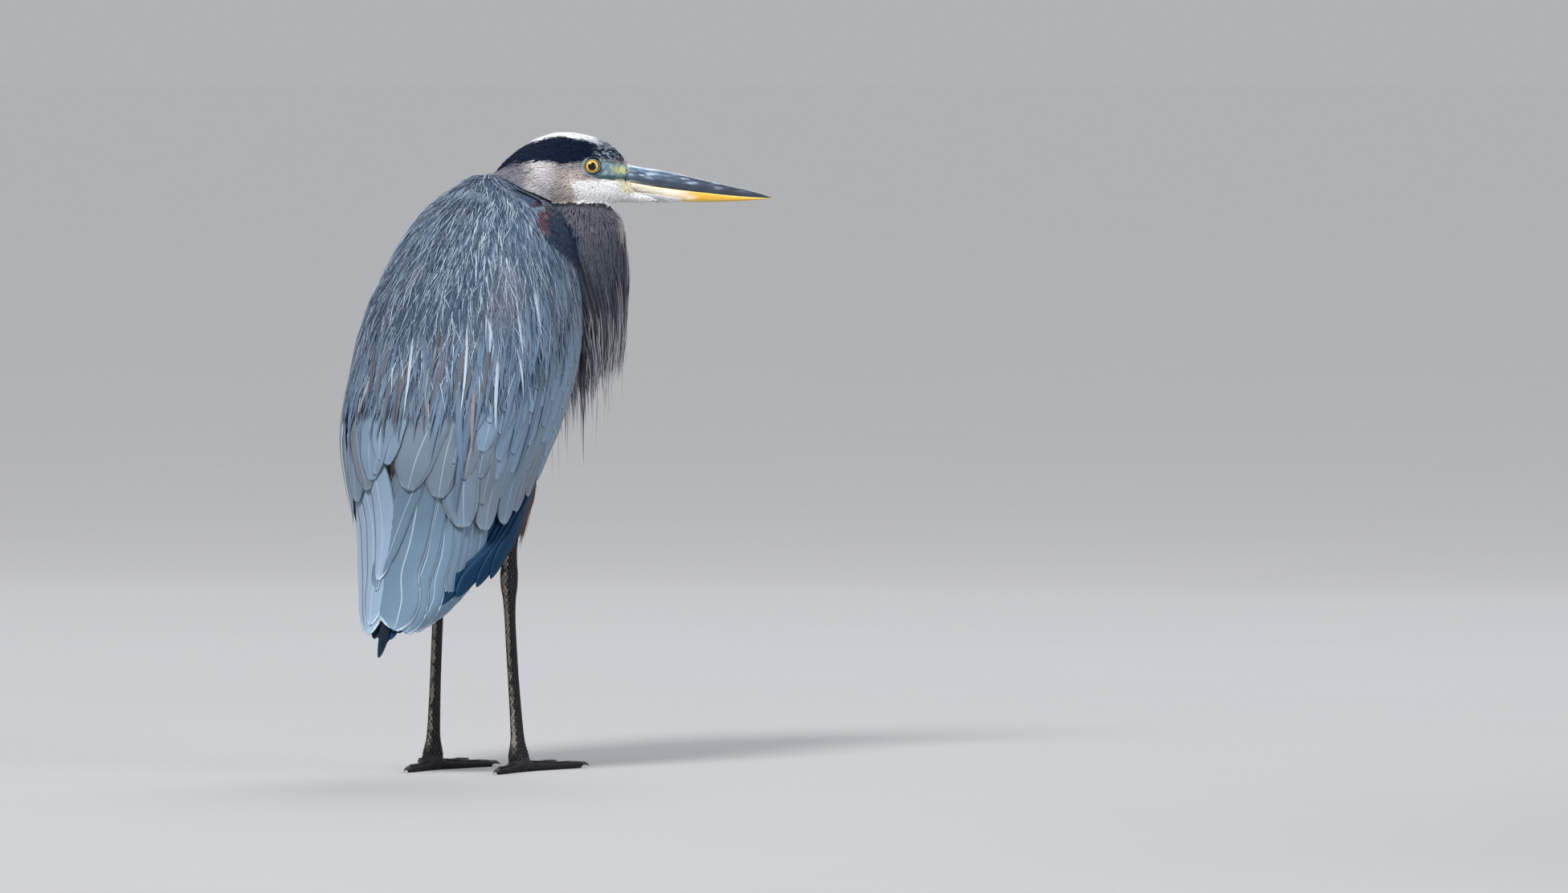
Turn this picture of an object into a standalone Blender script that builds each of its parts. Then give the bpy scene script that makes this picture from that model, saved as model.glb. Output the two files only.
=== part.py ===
"""A great blue heron at life size, at rest on both feet: hunched, with the neck folded
on the breast and the head turned to its own right.

The breast faces +X, the bird's left is +Y and up is +Z. Sizes below are millimetres,
and angles are degrees. The origin is on the floor, at the middle of the bird's box.
"""

import math

import bmesh
import bpy
import numpy as np

MM = 0.001
GAP = 0.35  # air left between two pieces that touch
HEAD_TURN = -52.0  # the bill's heading, from straight ahead, to the right
EYE_CENTRE = (92.6, -69.8, 586.0)

# The feathered body is a stack of rounded level sections: the wings' outer faces.
CLOAK_TOP = 579.0
CLOAK_ROUNDNESS = 2.2
CLOAK = [  # height, x at the spine, x at the front, half width
    (579, 14, 14, 0),
    (565, -12, 44, 31),
    (552, -25, 70, 55),
    (530, -46, 84, 73),
    (505, -66, 94, 84),
    (480, -85, 99, 91),
    (459, -99, 101, 96),
    (431, -112, 100, 101),
    (404, -120, 95, 104),
    (380, -126, 86, 105),
    (357, -133, 75, 105),
    (334, -139, 63, 104),
    (310, -141, 49, 100),
    (279, -138, 32, 92.5),
    (256, -135, 24, 87),
    (240, -134, 21, 84),
    (217, -135, 17, 80.5),
    (200, -137, 6, 76),
    (180, -141, -18, 67),
    (160, -146, -60, 54),
    (139, -151, -95, 38),
    (120, -155, -122, 24),
    (105, -158, -135, 13),
]
TRUNK_TOP = 569.0
TRUNK = [  # the same columns, for the body inside the wings
    (569, 15, 15, 0),
    (552, -6, 52, 37),
    (530, -28, 69, 57),
    (505, -49, 80, 69),
    (480, -69, 84, 77),
    (459, -84, 86, 82),
    (431, -99, 86, 88),
    (404, -109, 82, 92.5),
    (380, -116, 73, 95),
    (357, -123, 65, 95),
    (334, -129, 53, 94),
    (310, -131, 39, 90),
    (279, -126, 20, 81),
    (256, -117, 7, 68),
    (235, -103, -10, 50),
    (218, -83, -36, 27),
    (208, -60, -60, 0),
]

# Wings: the turn from the spine to the leading edge, and the half gap at the spine.
LEADING_EDGE = [  # height, turn
    (545, 112),
    (530, 120),
    (505, 130),
    (459, 138),
    (404, 140),
    (357, 139),
    (310, 134),
    (279, 130),
    (243, 125),
    (214, 108),
    (198, 102),
    (178, 97),
    (139, 90),
    (105, 80),
]
SPINE_EDGES = [  # height, y of the left wing's edge, y of the right wing's edge
    (545, 1.2, -1.2),
    (335, 1.2, -1.2),
    (280, -9, -11.6),
    (250, 0.5, -2.1),
    (220, 3.6, 0.6),
    (187, 11.5, 8.2),
    (160, 13, 0),
    (140, 12.5, -7),
    (105, 7, -7),
]
COVERT_TOP, COVERT_FEATHERS, COVERT_SCALLOP = 536.0, 7, 7.0
COVERT_HEM = [
    (0.0, 282),
    (0.15, 278),
    (0.3, 272),
    (0.42, 246),
    (0.5, 238),
    (0.65, 245),
    (0.8, 256),
    (0.92, 272),
    (1.0, 292),
]
FLIGHT_TOP = 400.0  # where the flight feathers begin, under the coverts
SECONDARY_FEATHERS, SECONDARY_SCALLOP = 7, 5.0
SECONDARY_EDGE = [(400, 112), (300, 88), (232, 72), (200, 70), (166, 70), (153, 74), (120, 82)]
SECONDARY_HEM = [(0.0, 133), (0.3, 131), (0.6, 136), (1.0, 150)]
PRIMARY_FEATHERS, PRIMARY_SCALLOP = 4, 4.0
PRIMARY_REAR = [(400, 66), (240, 46), (166, 28), (105, 18)]
PRIMARY_HEM = [(0.0, 116), (0.3, 121), (0.6, 134), (0.8, 157), (1.0, 186)]
MANTLE_PROUD, MANTLE_EDGE = 4.4, 3.4  # how far the cape of plumes stands off the wings
MANTLE_HEM = [(0, 345), (40, 352), (75, 384), (100, 432), (120, 500), (140, 536), (180, 548)]
MANTLE_PLUMES = 40

# Neck: level sections of the fold, from inside the head to the tips of its plumes.
NECK = [  # height, x, y, half length, half width, heading
    (553, 76.0, -47.0, 42, 11, -51),
    (545, 77.0, -46.0, 54, 22, -50),
    (534, 79.5, -45.5, 57, 30, -48),
    (520, 85.7, -44.7, 57, 37, -44),
    (480, 102.0, -37.0, 54, 45, -34),
    (440, 114.0, -33.0, 47, 48, -28),
    (412, 119.5, -33.0, 34, 42, -28),
    (390, 122.0, -33.3, 20, 32, -28),
    (370, 122.5, -33.8, 12, 20, -28),
    (345, 122.5, -35.0, 6, 9, -28),
    (324, 122.0, -36.0, 2.5, 2.5, -28),
]
NECK_PARTING = 470.0

# Head and bill, from the eyes: forward, up.
SKULL = [  # x, top, bottom, half width
    (-98, -12, -14, 1),
    (-90, 0, -26, 12),
    (-72, 16, -38, 20),
    (-53, 27.5, -42, 23.5),
    (-29, 33.5, -42, 24),
    (-10, 31.5, -40, 20.5),
    (0, 29, -38.5, 18),
    (10, 26, -37, 16.8),
    (20, 19.5, -36, 15.8),
    (30, 9, -35.5, 14.3),
    (36, 1.5, -35.5, 13),
    (42, -20, -36, 10),
    (58, -26, -35.5, 6.5),
    (75, -34, -35, 1),
]
BILL_START, BILL_TIP = 24.0, 173.5
CULMEN = [(24, 6), (35, 1.5), (72, -5.2), (103, -12.2), (134, -19.5), (158, -25.3), (173.5, -30.3)]
TOMIUM = [(24, -13.5), (35, -15), (64, -20), (103, -25), (150, -29.8), (173.5, -31.2)]
GONYS = [(24, -23), (41, -25), (58, -29.5), (76, -33.7), (103, -35), (127, -34.5), (150, -33.5), (173.5, -31.9)]
BILL_WIDTH = [(24, 12.5), (35, 11.6), (76, 7.6), (118, 5), (153, 2.5), (173.5, 0.5)]
EYE_RADIUS, EYE_SPREAD = 8.8, 12.4

# Legs, from the floor up: height, half width, half depth.
FOOT_TOP = 16.0
LEG = [
    (16.35, 6.8, 8.4),
    (28, 6.0, 7.2),
    (50, 5.3, 6.3),
    (95, 4.7, 5.5),
    (145, 4.6, 5.5),
    (168, 5.4, 6.8),
    (181, 7.0, 8.9),
    (191, 7.4, 9.4),
    (202, 6.4, 8.3),
    (218, 5.4, 6.8),
    (242, 6.2, 7.6),
]
THIGH = [
    (242.35, 8.5, 10),
    (250, 13, 16),
    (262, 17, 22),
    (280, 19, 26),
    (298, 17, 23),
    (314, 9, 12),
]
LEG_LINES = {  # height, x, y (outwards)
    "right": [(0, 12, 43.5), (190, -3, 43), (245, 4, 42), (310, 6, 40)],
    "left": [(0, -14, 44.5), (190, -5, 42), (245, 2, 41), (310, 5, 40)],
}
TOE_LENGTHS = {"inner": 76.0, "middle": 94.0, "outer": 86.0, "hind": 52.0}
TOE_HEADINGS = {
    "right": {"outer": -5.0, "middle": 18.0, "inner": 41.0, "hind": -164.0},
    "left": {"inner": -10.0, "middle": 19.0, "outer": 47.0, "hind": -166.0},
}
TOE_RINGS = [  # share of the length, half width, half height
    (0.0, 5.4, 7.0),
    (0.2, 4.8, 5.2),
    (0.4, 4.8, 4.6),
    (0.6, 4.0, 3.9),
    (0.78, 4.2, 3.9),
    (1.0, 3.0, 3.2),
]
CLAW = [(0.35, 4.0, 2.4), (4.5, 4.6, 1.9), (8.5, 3.6, 1.2)]  # forward, height, radius
CLAW_TIP = (12.0, 1.0)
TAIL = [  # height, x, half width, half thickness
    (272, -103, 14, 7),
    (240, -110, 19, 5.5),
    (200, -119, 22, 4),
    (160, -127, 21, 3),
    (132, -132, 16, 2),
    (122, -134, 8, 1.2),
]

COLOURS = {  # base colour, roughness
    "blue_grey_feather": ((0.25, 0.31, 0.39), 0.8),
    "slate_feather": ((0.035, 0.075, 0.13), 0.7),
    "neck_feather": ((0.22, 0.19, 0.2), 0.85),
    "head_feather": ((0.62, 0.6, 0.6), 0.8),
    "thigh_feather": ((0.3, 0.12, 0.06), 0.85),
    "upper_bill": ((0.07, 0.09, 0.14), 0.4),
    "lower_bill": ((0.75, 0.5, 0.12), 0.4),
    "eye": ((0.8, 0.55, 0.05), 0.05),
    "leg_scale": ((0.05, 0.05, 0.055), 0.55),
    "claw_horn": ((0.02, 0.02, 0.025), 0.35),
}


def smooth_curve(rows):
    """A function of the first column that gives the others, on curves with no overshoot."""
    rows = np.array(sorted(rows), float)
    at, values = rows[:, 0], rows[:, 1:]
    slope = np.diff(values, axis=0) / np.diff(at)[:, None]
    before, after = slope[:-1], slope[1:]
    total = np.where(np.abs(before + after) > 1e-9, before + after, 1.0)
    inner = np.where(before * after > 0, 2 * before * after / total, 0.0)
    tangent = np.vstack([slope[:1], inner, slope[-1:]])

    def value(x):
        x = np.clip(x, at[0], at[-1])
        i = np.clip(np.searchsorted(at, x, side="right") - 1, 0, len(at) - 2)
        step = at[i + 1] - at[i]
        t = (x - at[i]) / step
        h = [2 * t**3 - 3 * t**2 + 1, t**3 - 2 * t**2 + t, 3 * t**2 - 2 * t**3, t**3 - t**2]
        ends = h[0] * values[i] + h[2] * values[i + 1]
        return ends + step * (h[1] * tangent[i] + h[3] * tangent[i + 1])

    return value


def domed_curve(rows, top):
    """The same, eased so that the sections round over into a dome at the top."""
    inner = smooth_curve([(math.sqrt(top - row[0]), *row[1:]) for row in rows])
    return lambda height: inner(math.sqrt(max(top - height, 0.0)))


cloak_section = domed_curve(CLOAK, CLOAK_TOP)
trunk_section = domed_curve(TRUNK, TRUNK_TOP)
leading_edge = smooth_curve(LEADING_EDGE)
spine_edges = smooth_curve(SPINE_EDGES)
mantle_hem = smooth_curve(MANTLE_HEM)


def section_point(section, turn, height):
    """The point of a level section that is turned this far from the spine, to the left."""
    back, front, half_width = section(height)
    half_depth = (front - back) / 2
    across, along = abs(math.sin(turn)), abs(math.cos(turn))
    n = CLOAK_ROUNDNESS
    reach = (along / max(half_depth, 1e-3)) ** n + (across / max(half_width, 1e-3)) ** n
    radius = reach ** (-1 / n)
    return np.array(
        [(back + front) / 2 - radius * math.cos(turn), radius * math.sin(turn), height]
    )


def cloak_point(turn, height, depth=0.0):
    """A point this deep under the wings' outer face."""
    point = section_point(cloak_section, turn, height)
    step = 0.02
    around = section_point(cloak_section, turn + step, height) - section_point(
        cloak_section, turn - step, height
    )
    up = section_point(cloak_section, turn, min(height + 1, CLOAK_TOP - 0.5)) - section_point(
        cloak_section, turn, height - 1
    )
    outward = np.cross(up, around)
    return point - depth * outward / np.linalg.norm(outward)


def material(name):
    found = bpy.data.materials.get(name)
    if found:
        return found
    made = bpy.data.materials.new(name)
    made.use_nodes = True
    shader = made.node_tree.nodes["Principled BSDF"]
    colour, roughness = COLOURS[name]
    shader.inputs["Base Color"].default_value = (*colour, 1.0)
    shader.inputs["Roughness"].default_value = roughness
    return made


def add_object(name, points, faces, finish, parent, place=(0, 0, 0), heading=0.0):
    """A closed mesh from points in millimetres, faces out, placed under its parent."""
    mesh = bpy.data.meshes.new(name)
    shape = bmesh.new()
    corners = [shape.verts.new(np.asarray(point, float) * MM) for point in points]
    for face in faces:
        shape.faces.new([corners[i] for i in face])
    bmesh.ops.recalc_face_normals(shape, faces=shape.faces)
    shape.to_mesh(mesh)
    shape.free()
    mesh.shade_smooth()
    mesh.set_sharp_from_angle(angle=math.radians(50))
    made = bpy.data.objects.new(name, mesh)
    bpy.context.scene.collection.objects.link(made)
    made.data.materials.append(material(finish))
    made.parent = parent
    made.location = np.asarray(place, float) * MM
    made.rotation_euler.z = math.radians(heading)
    return made


def loft(rings, start=None, end=None):
    """Points and faces of a closed tube through rings; each end is a point or a flat cap."""
    count = len(rings[0])
    points = [point for ring in rings for point in ring]
    faces = []
    for row in range(len(rings) - 1):
        for i in range(count):
            a, b = row * count + i, row * count + (i + 1) % count
            faces.append((a, b, b + count, a + count))
    for tip, first in ((start, 0), (end, (len(rings) - 1) * count)):
        rim = [first + i for i in range(count)]
        if tip is None:
            faces.append(rim)
            continue
        points.append(tip)
        faces += [(rim[i], rim[(i + 1) % count], len(points) - 1) for i in range(count)]
    return points, faces


def shell(outer, inner, around=False):
    """Points and faces of the closed sheet between two equal grids of points.
    With around, the columns run right round, and the first row is a single point."""
    rows, columns = len(outer), len(outer[0])
    points, index = [], []
    for grid in (outer, inner):
        numbers = []
        for r, row in enumerate(grid):
            if around and r == 0:
                points.append(row[0])
                numbers.append([len(points) - 1] * columns)
                continue
            numbers.append([len(points) + c for c in range(columns)])
            points += list(row)
        index.append(numbers)
    last = columns if around else columns - 1
    faces = []
    for numbers in index:
        for r in range(rows - 1):
            for c in range(last):
                d = (c + 1) % columns
                corners = (numbers[r][c], numbers[r][d], numbers[r + 1][d], numbers[r + 1][c])
                faces.append(tuple(dict.fromkeys(corners)))
    rim = [(rows - 1, c) for c in range(columns)]
    if around:
        rim.append(rim[0])
    else:
        rim += [(r, columns - 1) for r in range(rows - 2, -1, -1)]
        rim += [(0, c) for c in range(columns - 2, -1, -1)]
        rim += [(r, 0) for r in range(1, rows)]
    out, under = index
    for (r, c), (s, d) in zip(rim[:-1], rim[1:]):
        faces.append((out[r][c], out[s][d], under[s][d], under[r][c]))
    return points, faces


def hidden_copy(source, name, swell):
    """A whole copy swollen by this many millimetres, kept out of the render, to cut with."""
    made = source.copy()
    made.modifiers.clear()
    made.name = name
    made.data = source.data.copy()
    normals = [vertex.normal.copy() for vertex in made.data.vertices]
    for vertex, normal in zip(made.data.vertices, normals):
        vertex.co += normal * swell * MM
    bpy.context.scene.collection.objects.link(made)
    hide(made)
    return made


def hide(helper):
    helper.hide_render = True
    helper.display_type = "WIRE"


def combine(piece, other, operation):
    modifier = piece.modifiers.new(f"{operation.lower()}_{other.name}", "BOOLEAN")
    modifier.operation = operation
    modifier.solver = "EXACT"
    modifier.object = other


def clear(piece, neighbour, swell=GAP):
    """Cuts the neighbour's shape out of the piece, with air between them."""
    cutter = hidden_copy(neighbour, f"cut_{piece.name}_{neighbour.name}", swell)
    combine(piece, cutter, "DIFFERENCE")


def full_turn(count):
    return [2 * math.pi * i / count for i in range(count)]


def egg_ring(x, top, bottom, half_width, sides, widest=0.48):
    """An upright ring across x, widest at this share of its height."""
    middle = bottom + widest * (top - bottom)
    ring = []
    for angle in full_turn(sides):
        reach = top - middle if math.sin(angle) > 0 else middle - bottom
        ring.append((x, half_width * math.cos(angle), middle + reach * math.sin(angle)))
    return ring


def scalloped(hem, share, feathers, depth):
    """The hem's height at this share of its length, with a round tip to each feather."""
    place = (share * feathers) % 1.0
    return hem + depth * (1 - math.sin(math.pi * place) ** 0.6)


def layer_scale(height):
    """The feather layers thin out towards the wing's tip."""
    return min(1.0, max(0.3, (height - 92) / 80))


def wing_sheet(side, name, finish, parent, shape, edges, hem, scallop, depths):
    """One layer of a folded wing: rows from its top to a hem of feather tips."""
    rows, columns, top = shape
    rear, front = edges
    feathers, tip_depth = scallop
    outer, inner = [], []
    for r in range(rows + 1):
        outer_row, inner_row = [], []
        for c in range(columns + 1):
            share = c / columns
            low = scalloped(hem(share)[0], share, feathers, tip_depth)
            height = top - (top - low) * r / rows
            turn = side * (rear(height) + share * (front(height) - rear(height)))
            outside, inside = depths(height)
            scale = layer_scale(height)
            outer_row.append(cloak_point(turn, height, outside * scale))
            inner_row.append(cloak_point(turn, height, inside * scale))
        outer.append(outer_row)
        inner.append(inner_row)
    return add_object(name, *shell(outer, inner), finish, parent)


def spine_turn(side):
    """The turn of this side's wing edge along the spine, counted towards its own side."""

    def turn(height):
        back, front, _ = cloak_section(height)
        left, right = spine_edges(height)
        return math.asin((left if side > 0 else -right) / ((front - back) / 2))

    return turn


def edge_turn(rows):
    curve = smooth_curve(rows)
    return lambda height: math.radians(curve(height)[0])


def covert_depths(height):
    """The wing is thick over the folded arm, and thin over the flight feathers."""
    ramp = min(1.0, max(0.0, (height - FLIGHT_TOP - 30) / 40))
    return 0.0, 2.6 + 8.6 * ramp * ramp * (3 - 2 * ramp)


def build_wing(side, label, parent):
    front = edge_turn(LEADING_EDGE)
    wing_sheet(
        side,
        f"wing_{label}",
        "blue_grey_feather",
        parent,
        (8, 3 * COVERT_FEATHERS, COVERT_TOP),
        (spine_turn(side), front),
        smooth_curve(COVERT_HEM),
        (COVERT_FEATHERS, COVERT_SCALLOP),
        covert_depths,
    )
    wing_sheet(
        side,
        f"secondaries_{label}",
        "blue_grey_feather",
        parent,
        (6, 3 * SECONDARY_FEATHERS, FLIGHT_TOP),
        (spine_turn(side), edge_turn(SECONDARY_EDGE)),
        smooth_curve(SECONDARY_HEM),
        (SECONDARY_FEATHERS, SECONDARY_SCALLOP),
        lambda height: (4.2, 5.7),
    )
    wing_sheet(
        side,
        f"primaries_{label}",
        "slate_feather",
        parent,
        (6, 3 * PRIMARY_FEATHERS, FLIGHT_TOP - 8),
        (edge_turn(PRIMARY_REAR), front),
        smooth_curve(PRIMARY_HEM),
        (PRIMARY_FEATHERS, PRIMARY_SCALLOP),
        lambda height: (6.9, 8.6),
    )


def mantle_low(turn, column):
    """The cape's hem: every other plume hangs lower."""
    low = mantle_hem(abs(math.degrees(turn)))[0]
    return low - (9 if column % 2 and low < 500 else 0)


def build_mantle(parent):
    rows, columns = 7, MANTLE_PLUMES
    outer, inner = [], []
    for r in range(rows + 1):
        outer_row, inner_row = [], []
        share = (r / rows) ** 1.3
        for c in range(columns):
            turn = 2 * math.pi * c / columns - math.pi
            low = mantle_low(turn, c)
            height = CLOAK_TOP - (CLOAK_TOP - low) * share
            if r == 0:
                apex = section_point(cloak_section, 0.0, CLOAK_TOP)
                outer_row.append(apex + (0, 0, MANTLE_PROUD))
                inner_row.append(apex - (0, 0, 2.4))
                continue
            proud = MANTLE_PROUD + (MANTLE_EDGE - MANTLE_PROUD) * share
            outer_row.append(cloak_point(turn, height, -proud))
            inner_row.append(cloak_point(turn, height, 2.4 if height > 560 else -2.3))
        outer.append(outer_row)
        inner.append(inner_row)
    points, faces = shell(outer, inner, around=True)
    return add_object("mantle", points, faces, "blue_grey_feather", parent)


def build_trunk(parent):
    rings = []
    count = 12
    low = TRUNK[-1][0]
    for row in range(1, count):
        share = row / count
        height = TRUNK_TOP - (TRUNK_TOP - low) * (0.5 - 0.5 * math.cos(math.pi * share))
        rings.append([section_point(trunk_section, turn, height) for turn in full_turn(24)])
    top = section_point(trunk_section, 0.0, TRUNK_TOP)
    bottom = section_point(trunk_section, 0.0, low)
    return add_object("trunk", *loft(rings, top, bottom), "blue_grey_feather", parent)


def build_shoulder_cutter(parent):
    """The closed outside of the mantle, the wings and the breast, to fit the neck against."""
    heights = [CLOAK_TOP - 359 * (row / 24) ** 1.6 for row in range(1, 25)]
    swell = MANTLE_PROUD + 2 * GAP
    rings = []
    for height in heights:
        ring = []
        edge = math.radians(leading_edge(height)[0] + 8.5)
        for turn in full_turn(48):
            away = min(turn, 2 * math.pi - turn)
            capped = height > mantle_hem(math.degrees(away))[0] - 15
            if away < edge or capped:
                point = cloak_point(turn, height, -swell if capped else -GAP - 0.4)
            else:
                point = section_point(trunk_section, turn, height)
                point[:2] += GAP * 1.5 * np.array([-math.cos(turn), math.sin(turn)])
            ring.append(point)
        rings.append(ring)
    apex = section_point(cloak_section, 0.0, CLOAK_TOP) + (0, 0, swell)
    cutter = add_object("cut_shoulders", *loft(rings, apex), "blue_grey_feather", parent)
    hide(cutter)
    return cutter


def neck_ring(curve, height, sides=18):
    x, y, half_length, half_width, heading = curve(height)
    turn = math.radians(heading)
    ring = []
    for angle in full_turn(sides):
        ahead, aside = half_length * math.cos(angle), half_width * math.sin(angle)
        ring.append(
            (
                x + ahead * math.cos(turn) - aside * math.sin(turn),
                y + ahead * math.sin(turn) + aside * math.cos(turn),
                height,
            )
        )
    return ring


def build_neck(parent, head, shoulders):
    """The folded neck, parted at mid height; the lower length ends in its hanging plumes."""
    curve = smooth_curve(NECK)
    top, tip = NECK[0][0], NECK[-1][0]
    upper = np.linspace(top, NECK_PARTING + GAP / 2, 6)
    lower = np.linspace(NECK_PARTING - GAP / 2, tip + 2, 8)
    point = (*curve(tip)[:2], tip)
    pieces = [
        add_object(
            "neck_upper",
            *loft([neck_ring(curve, height) for height in upper]),
            "neck_feather",
            parent,
        ),
        add_object(
            "neck_lower",
            *loft([neck_ring(curve, height) for height in lower], None, point),
            "neck_feather",
            parent,
        ),
    ]
    for piece in pieces:
        combine(piece, shoulders, "DIFFERENCE")
    clear(pieces[0], head)
    return pieces


def build_head(parent, shoulders):
    """The skull in its feathers, with seats for the bill and the eyes."""
    pose = bpy.data.objects.new("head_pose", None)
    bpy.context.scene.collection.objects.link(pose)
    pose.parent = parent
    pose.location = np.array(EYE_CENTRE) * MM
    pose.rotation_euler.z = math.radians(HEAD_TURN)
    curve = smooth_curve(SKULL)
    first, last = SKULL[0], SKULL[-1]
    stations = [-96, -88, -74, -56, -36, -18, -4, 8, 20, 29, 36, 43, 58, 72]
    rings = [egg_ring(x, *curve(x), 18) for x in stations]
    nape = (first[0], 0, (first[1] + first[2]) / 2)
    chin = (last[0], 0, (last[1] + last[2]) / 2)
    head = add_object("head", *loft(rings, nape, chin), "head_feather", pose)
    upper, lower = build_bill(pose)
    for piece in (upper, lower):
        clear(head, piece)
    for side, label in ((1, "left"), (-1, "right")):
        clear(head, build_eye(side, label, pose))
    combine(head, shoulders, "DIFFERENCE")
    return head


def build_bill(pose):
    width, top = smooth_curve(BILL_WIDTH), smooth_curve(CULMEN)
    edge, keel = smooth_curve(TOMIUM), smooth_curve(GONYS)
    stations = np.linspace(BILL_START, BILL_TIP - 1.5, 10)
    upper, lower = [], []
    for x in stations:
        half, ridge, seam, bottom = (c(x)[0] for c in (width, top, edge, keel))
        upper.append(half_round(x, half, seam + GAP / 2, ridge))
        lower.append(half_round(x, half * 0.94, seam - GAP / 2, bottom))
    tip_edge = edge(BILL_TIP)[0]
    tips = [(BILL_TIP, 0, tip_edge + 0.25), (BILL_TIP - 0.6, 0, tip_edge - 0.25)]
    return [
        add_object(f"bill_{name}", *loft(rings, None, tip), f"{name}_bill", pose)
        for name, rings, tip in (("upper", upper, tips[0]), ("lower", lower, tips[1]))
    ]


def half_round(x, half_width, flat, crown, steps=8):
    """A ring across x: flat along the cutting edge, rounded over to the crown."""
    ring = []
    for i in range(steps + 1):
        angle = math.pi * i / steps
        rise = math.sin(angle) ** 0.85
        ring.append((x, half_width * math.cos(angle), flat + (crown - flat) * rise))
    return ring


def build_eye(side, label, pose):
    rings = []
    for row in range(1, 7):
        tilt = math.pi * row / 7
        ring_radius = EYE_RADIUS * math.sin(tilt)
        rings.append(
            [
                (ring_radius * math.cos(a), EYE_RADIUS * math.cos(tilt), ring_radius * math.sin(a))
                for a in full_turn(12)
            ]
        )
    poles = (0, EYE_RADIUS, 0), (0, -EYE_RADIUS, 0)
    points, faces = loft(rings, *poles)
    return add_object(f"eye_{label}", points, faces, "eye", pose, (0, side * EYE_SPREAD, 0))


def upright_rings(rows, line, side, sides):
    """Level rings of these half widths and depths along a leg's line."""
    rings = []
    for height, half_width, half_depth in rows:
        x, y = line(height)
        rings.append(
            [
                (x + half_depth * math.cos(a), side * y + half_width * math.sin(a), height)
                for a in full_turn(sides)
            ]
        )
    return rings


def build_leg(side, label, parent, trunk):
    line = smooth_curve(LEG_LINES[label])
    add_object(
        f"leg_{label}", *loft(upright_rings(LEG, line, side, 10)), "leg_scale", parent
    )
    thigh = add_object(
        f"thigh_{label}", *loft(upright_rings(THIGH, line, side, 14)), "thigh_feather", parent
    )
    clear(thigh, trunk)
    build_foot(side, label, parent, line)


def build_foot(side, label, parent, line):
    """Four toes joined to the ball of the foot, with flats under their pads."""
    x, y = line(0.0)
    place = (x, side * y, 0)
    hub_rows = [(0.0, 6.5, 7.5), (4.0, 8.4, 9.4), (11.0, 7.8, 9.2), (FOOT_TOP, 6.3, 7.9)]
    origin = smooth_curve([(0, 0, 0), (20, 0, 0)])
    hub_rings = upright_rings(hub_rows, origin, side, 12)
    foot = add_object(f"foot_{label}", *loft(hub_rings), "leg_scale", parent, place)
    for toe, heading in TOE_HEADINGS[label].items():
        length = TOE_LENGTHS[toe]
        rings = [toe_ring(share * length, *halves) for share, *halves in TOE_RINGS]
        helper = add_object(
            f"part_{toe}_toe_{label}", *loft(rings), "leg_scale", parent, place, heading
        )
        hide(helper)
        combine(foot, helper, "UNION")
        build_claw(f"claw_{toe}_{label}", length, parent, place, heading)


def toe_ring(x, half_width, half_height, sides=8):
    """A ring across a toe, flat where it meets the floor."""
    middle = 0.88 * half_height
    return [
        (x, half_width * math.cos(a), max(0.0, middle + half_height * math.sin(a)))
        for a in (angle + math.pi / sides for angle in full_turn(sides))
    ]


def build_claw(name, toe_length, parent, place, heading):
    rings = []
    for ahead, height, radius in CLAW:
        rings.append(
            [
                (toe_length + ahead, 0.8 * radius * math.cos(a), height + radius * math.sin(a))
                for a in full_turn(6)
            ]
        )
    tip = (toe_length + CLAW_TIP[0], 0, CLAW_TIP[1])
    return add_object(name, *loft(rings, None, tip), "claw_horn", parent, place, heading)


def build_tail(parent, trunk):
    rings = []
    for height, x, half_width, half_thick in TAIL:
        rings.append(
            [
                (x + half_thick * math.cos(a), half_width * math.sin(a), height)
                for a in full_turn(14)
            ]
        )
    tail = add_object("tail", *loft(rings), "blue_grey_feather", parent)
    clear(tail, trunk)
    return tail


def stand_on_origin(root):
    """Moves the bird so that the middle of its box is over the origin."""
    bpy.context.view_layer.update()
    graph = bpy.context.evaluated_depsgraph_get()
    corners = []
    for made in root.children_recursive:
        if made.type == "MESH" and not made.hide_render:
            seen = made.evaluated_get(graph)
            points = np.array([seen.matrix_world @ v.co for v in seen.data.vertices])
            corners += [points.min(axis=0), points.max(axis=0)]
    middle = (np.min(corners, axis=0) + np.max(corners, axis=0)) / 2
    root.location = (-middle[0], -middle[1], 0)


def main():
    for old in list(bpy.data.objects):
        bpy.data.objects.remove(old)
    root = bpy.data.objects.new("heron", None)
    bpy.context.scene.collection.objects.link(root)
    trunk = build_trunk(root)
    build_mantle(root)
    shoulders = build_shoulder_cutter(root)
    head = build_head(root, shoulders)
    build_neck(root, head, shoulders)
    build_tail(root, trunk)
    for side, label in ((1, "left"), (-1, "right")):
        build_wing(side, label, root)
        build_leg(side, label, root, trunk)
    stand_on_origin(root)


main()
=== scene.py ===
"""Plumage, bill, eyes and scaly legs for a great blue heron at life size, at rest on both
feet. Run it as a script; every part of the bird is one operator, listed in the sidebar."""

import math

import bmesh
import bpy
import numpy as np
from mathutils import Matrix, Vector
from mathutils.bvhtree import BVHTree


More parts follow.
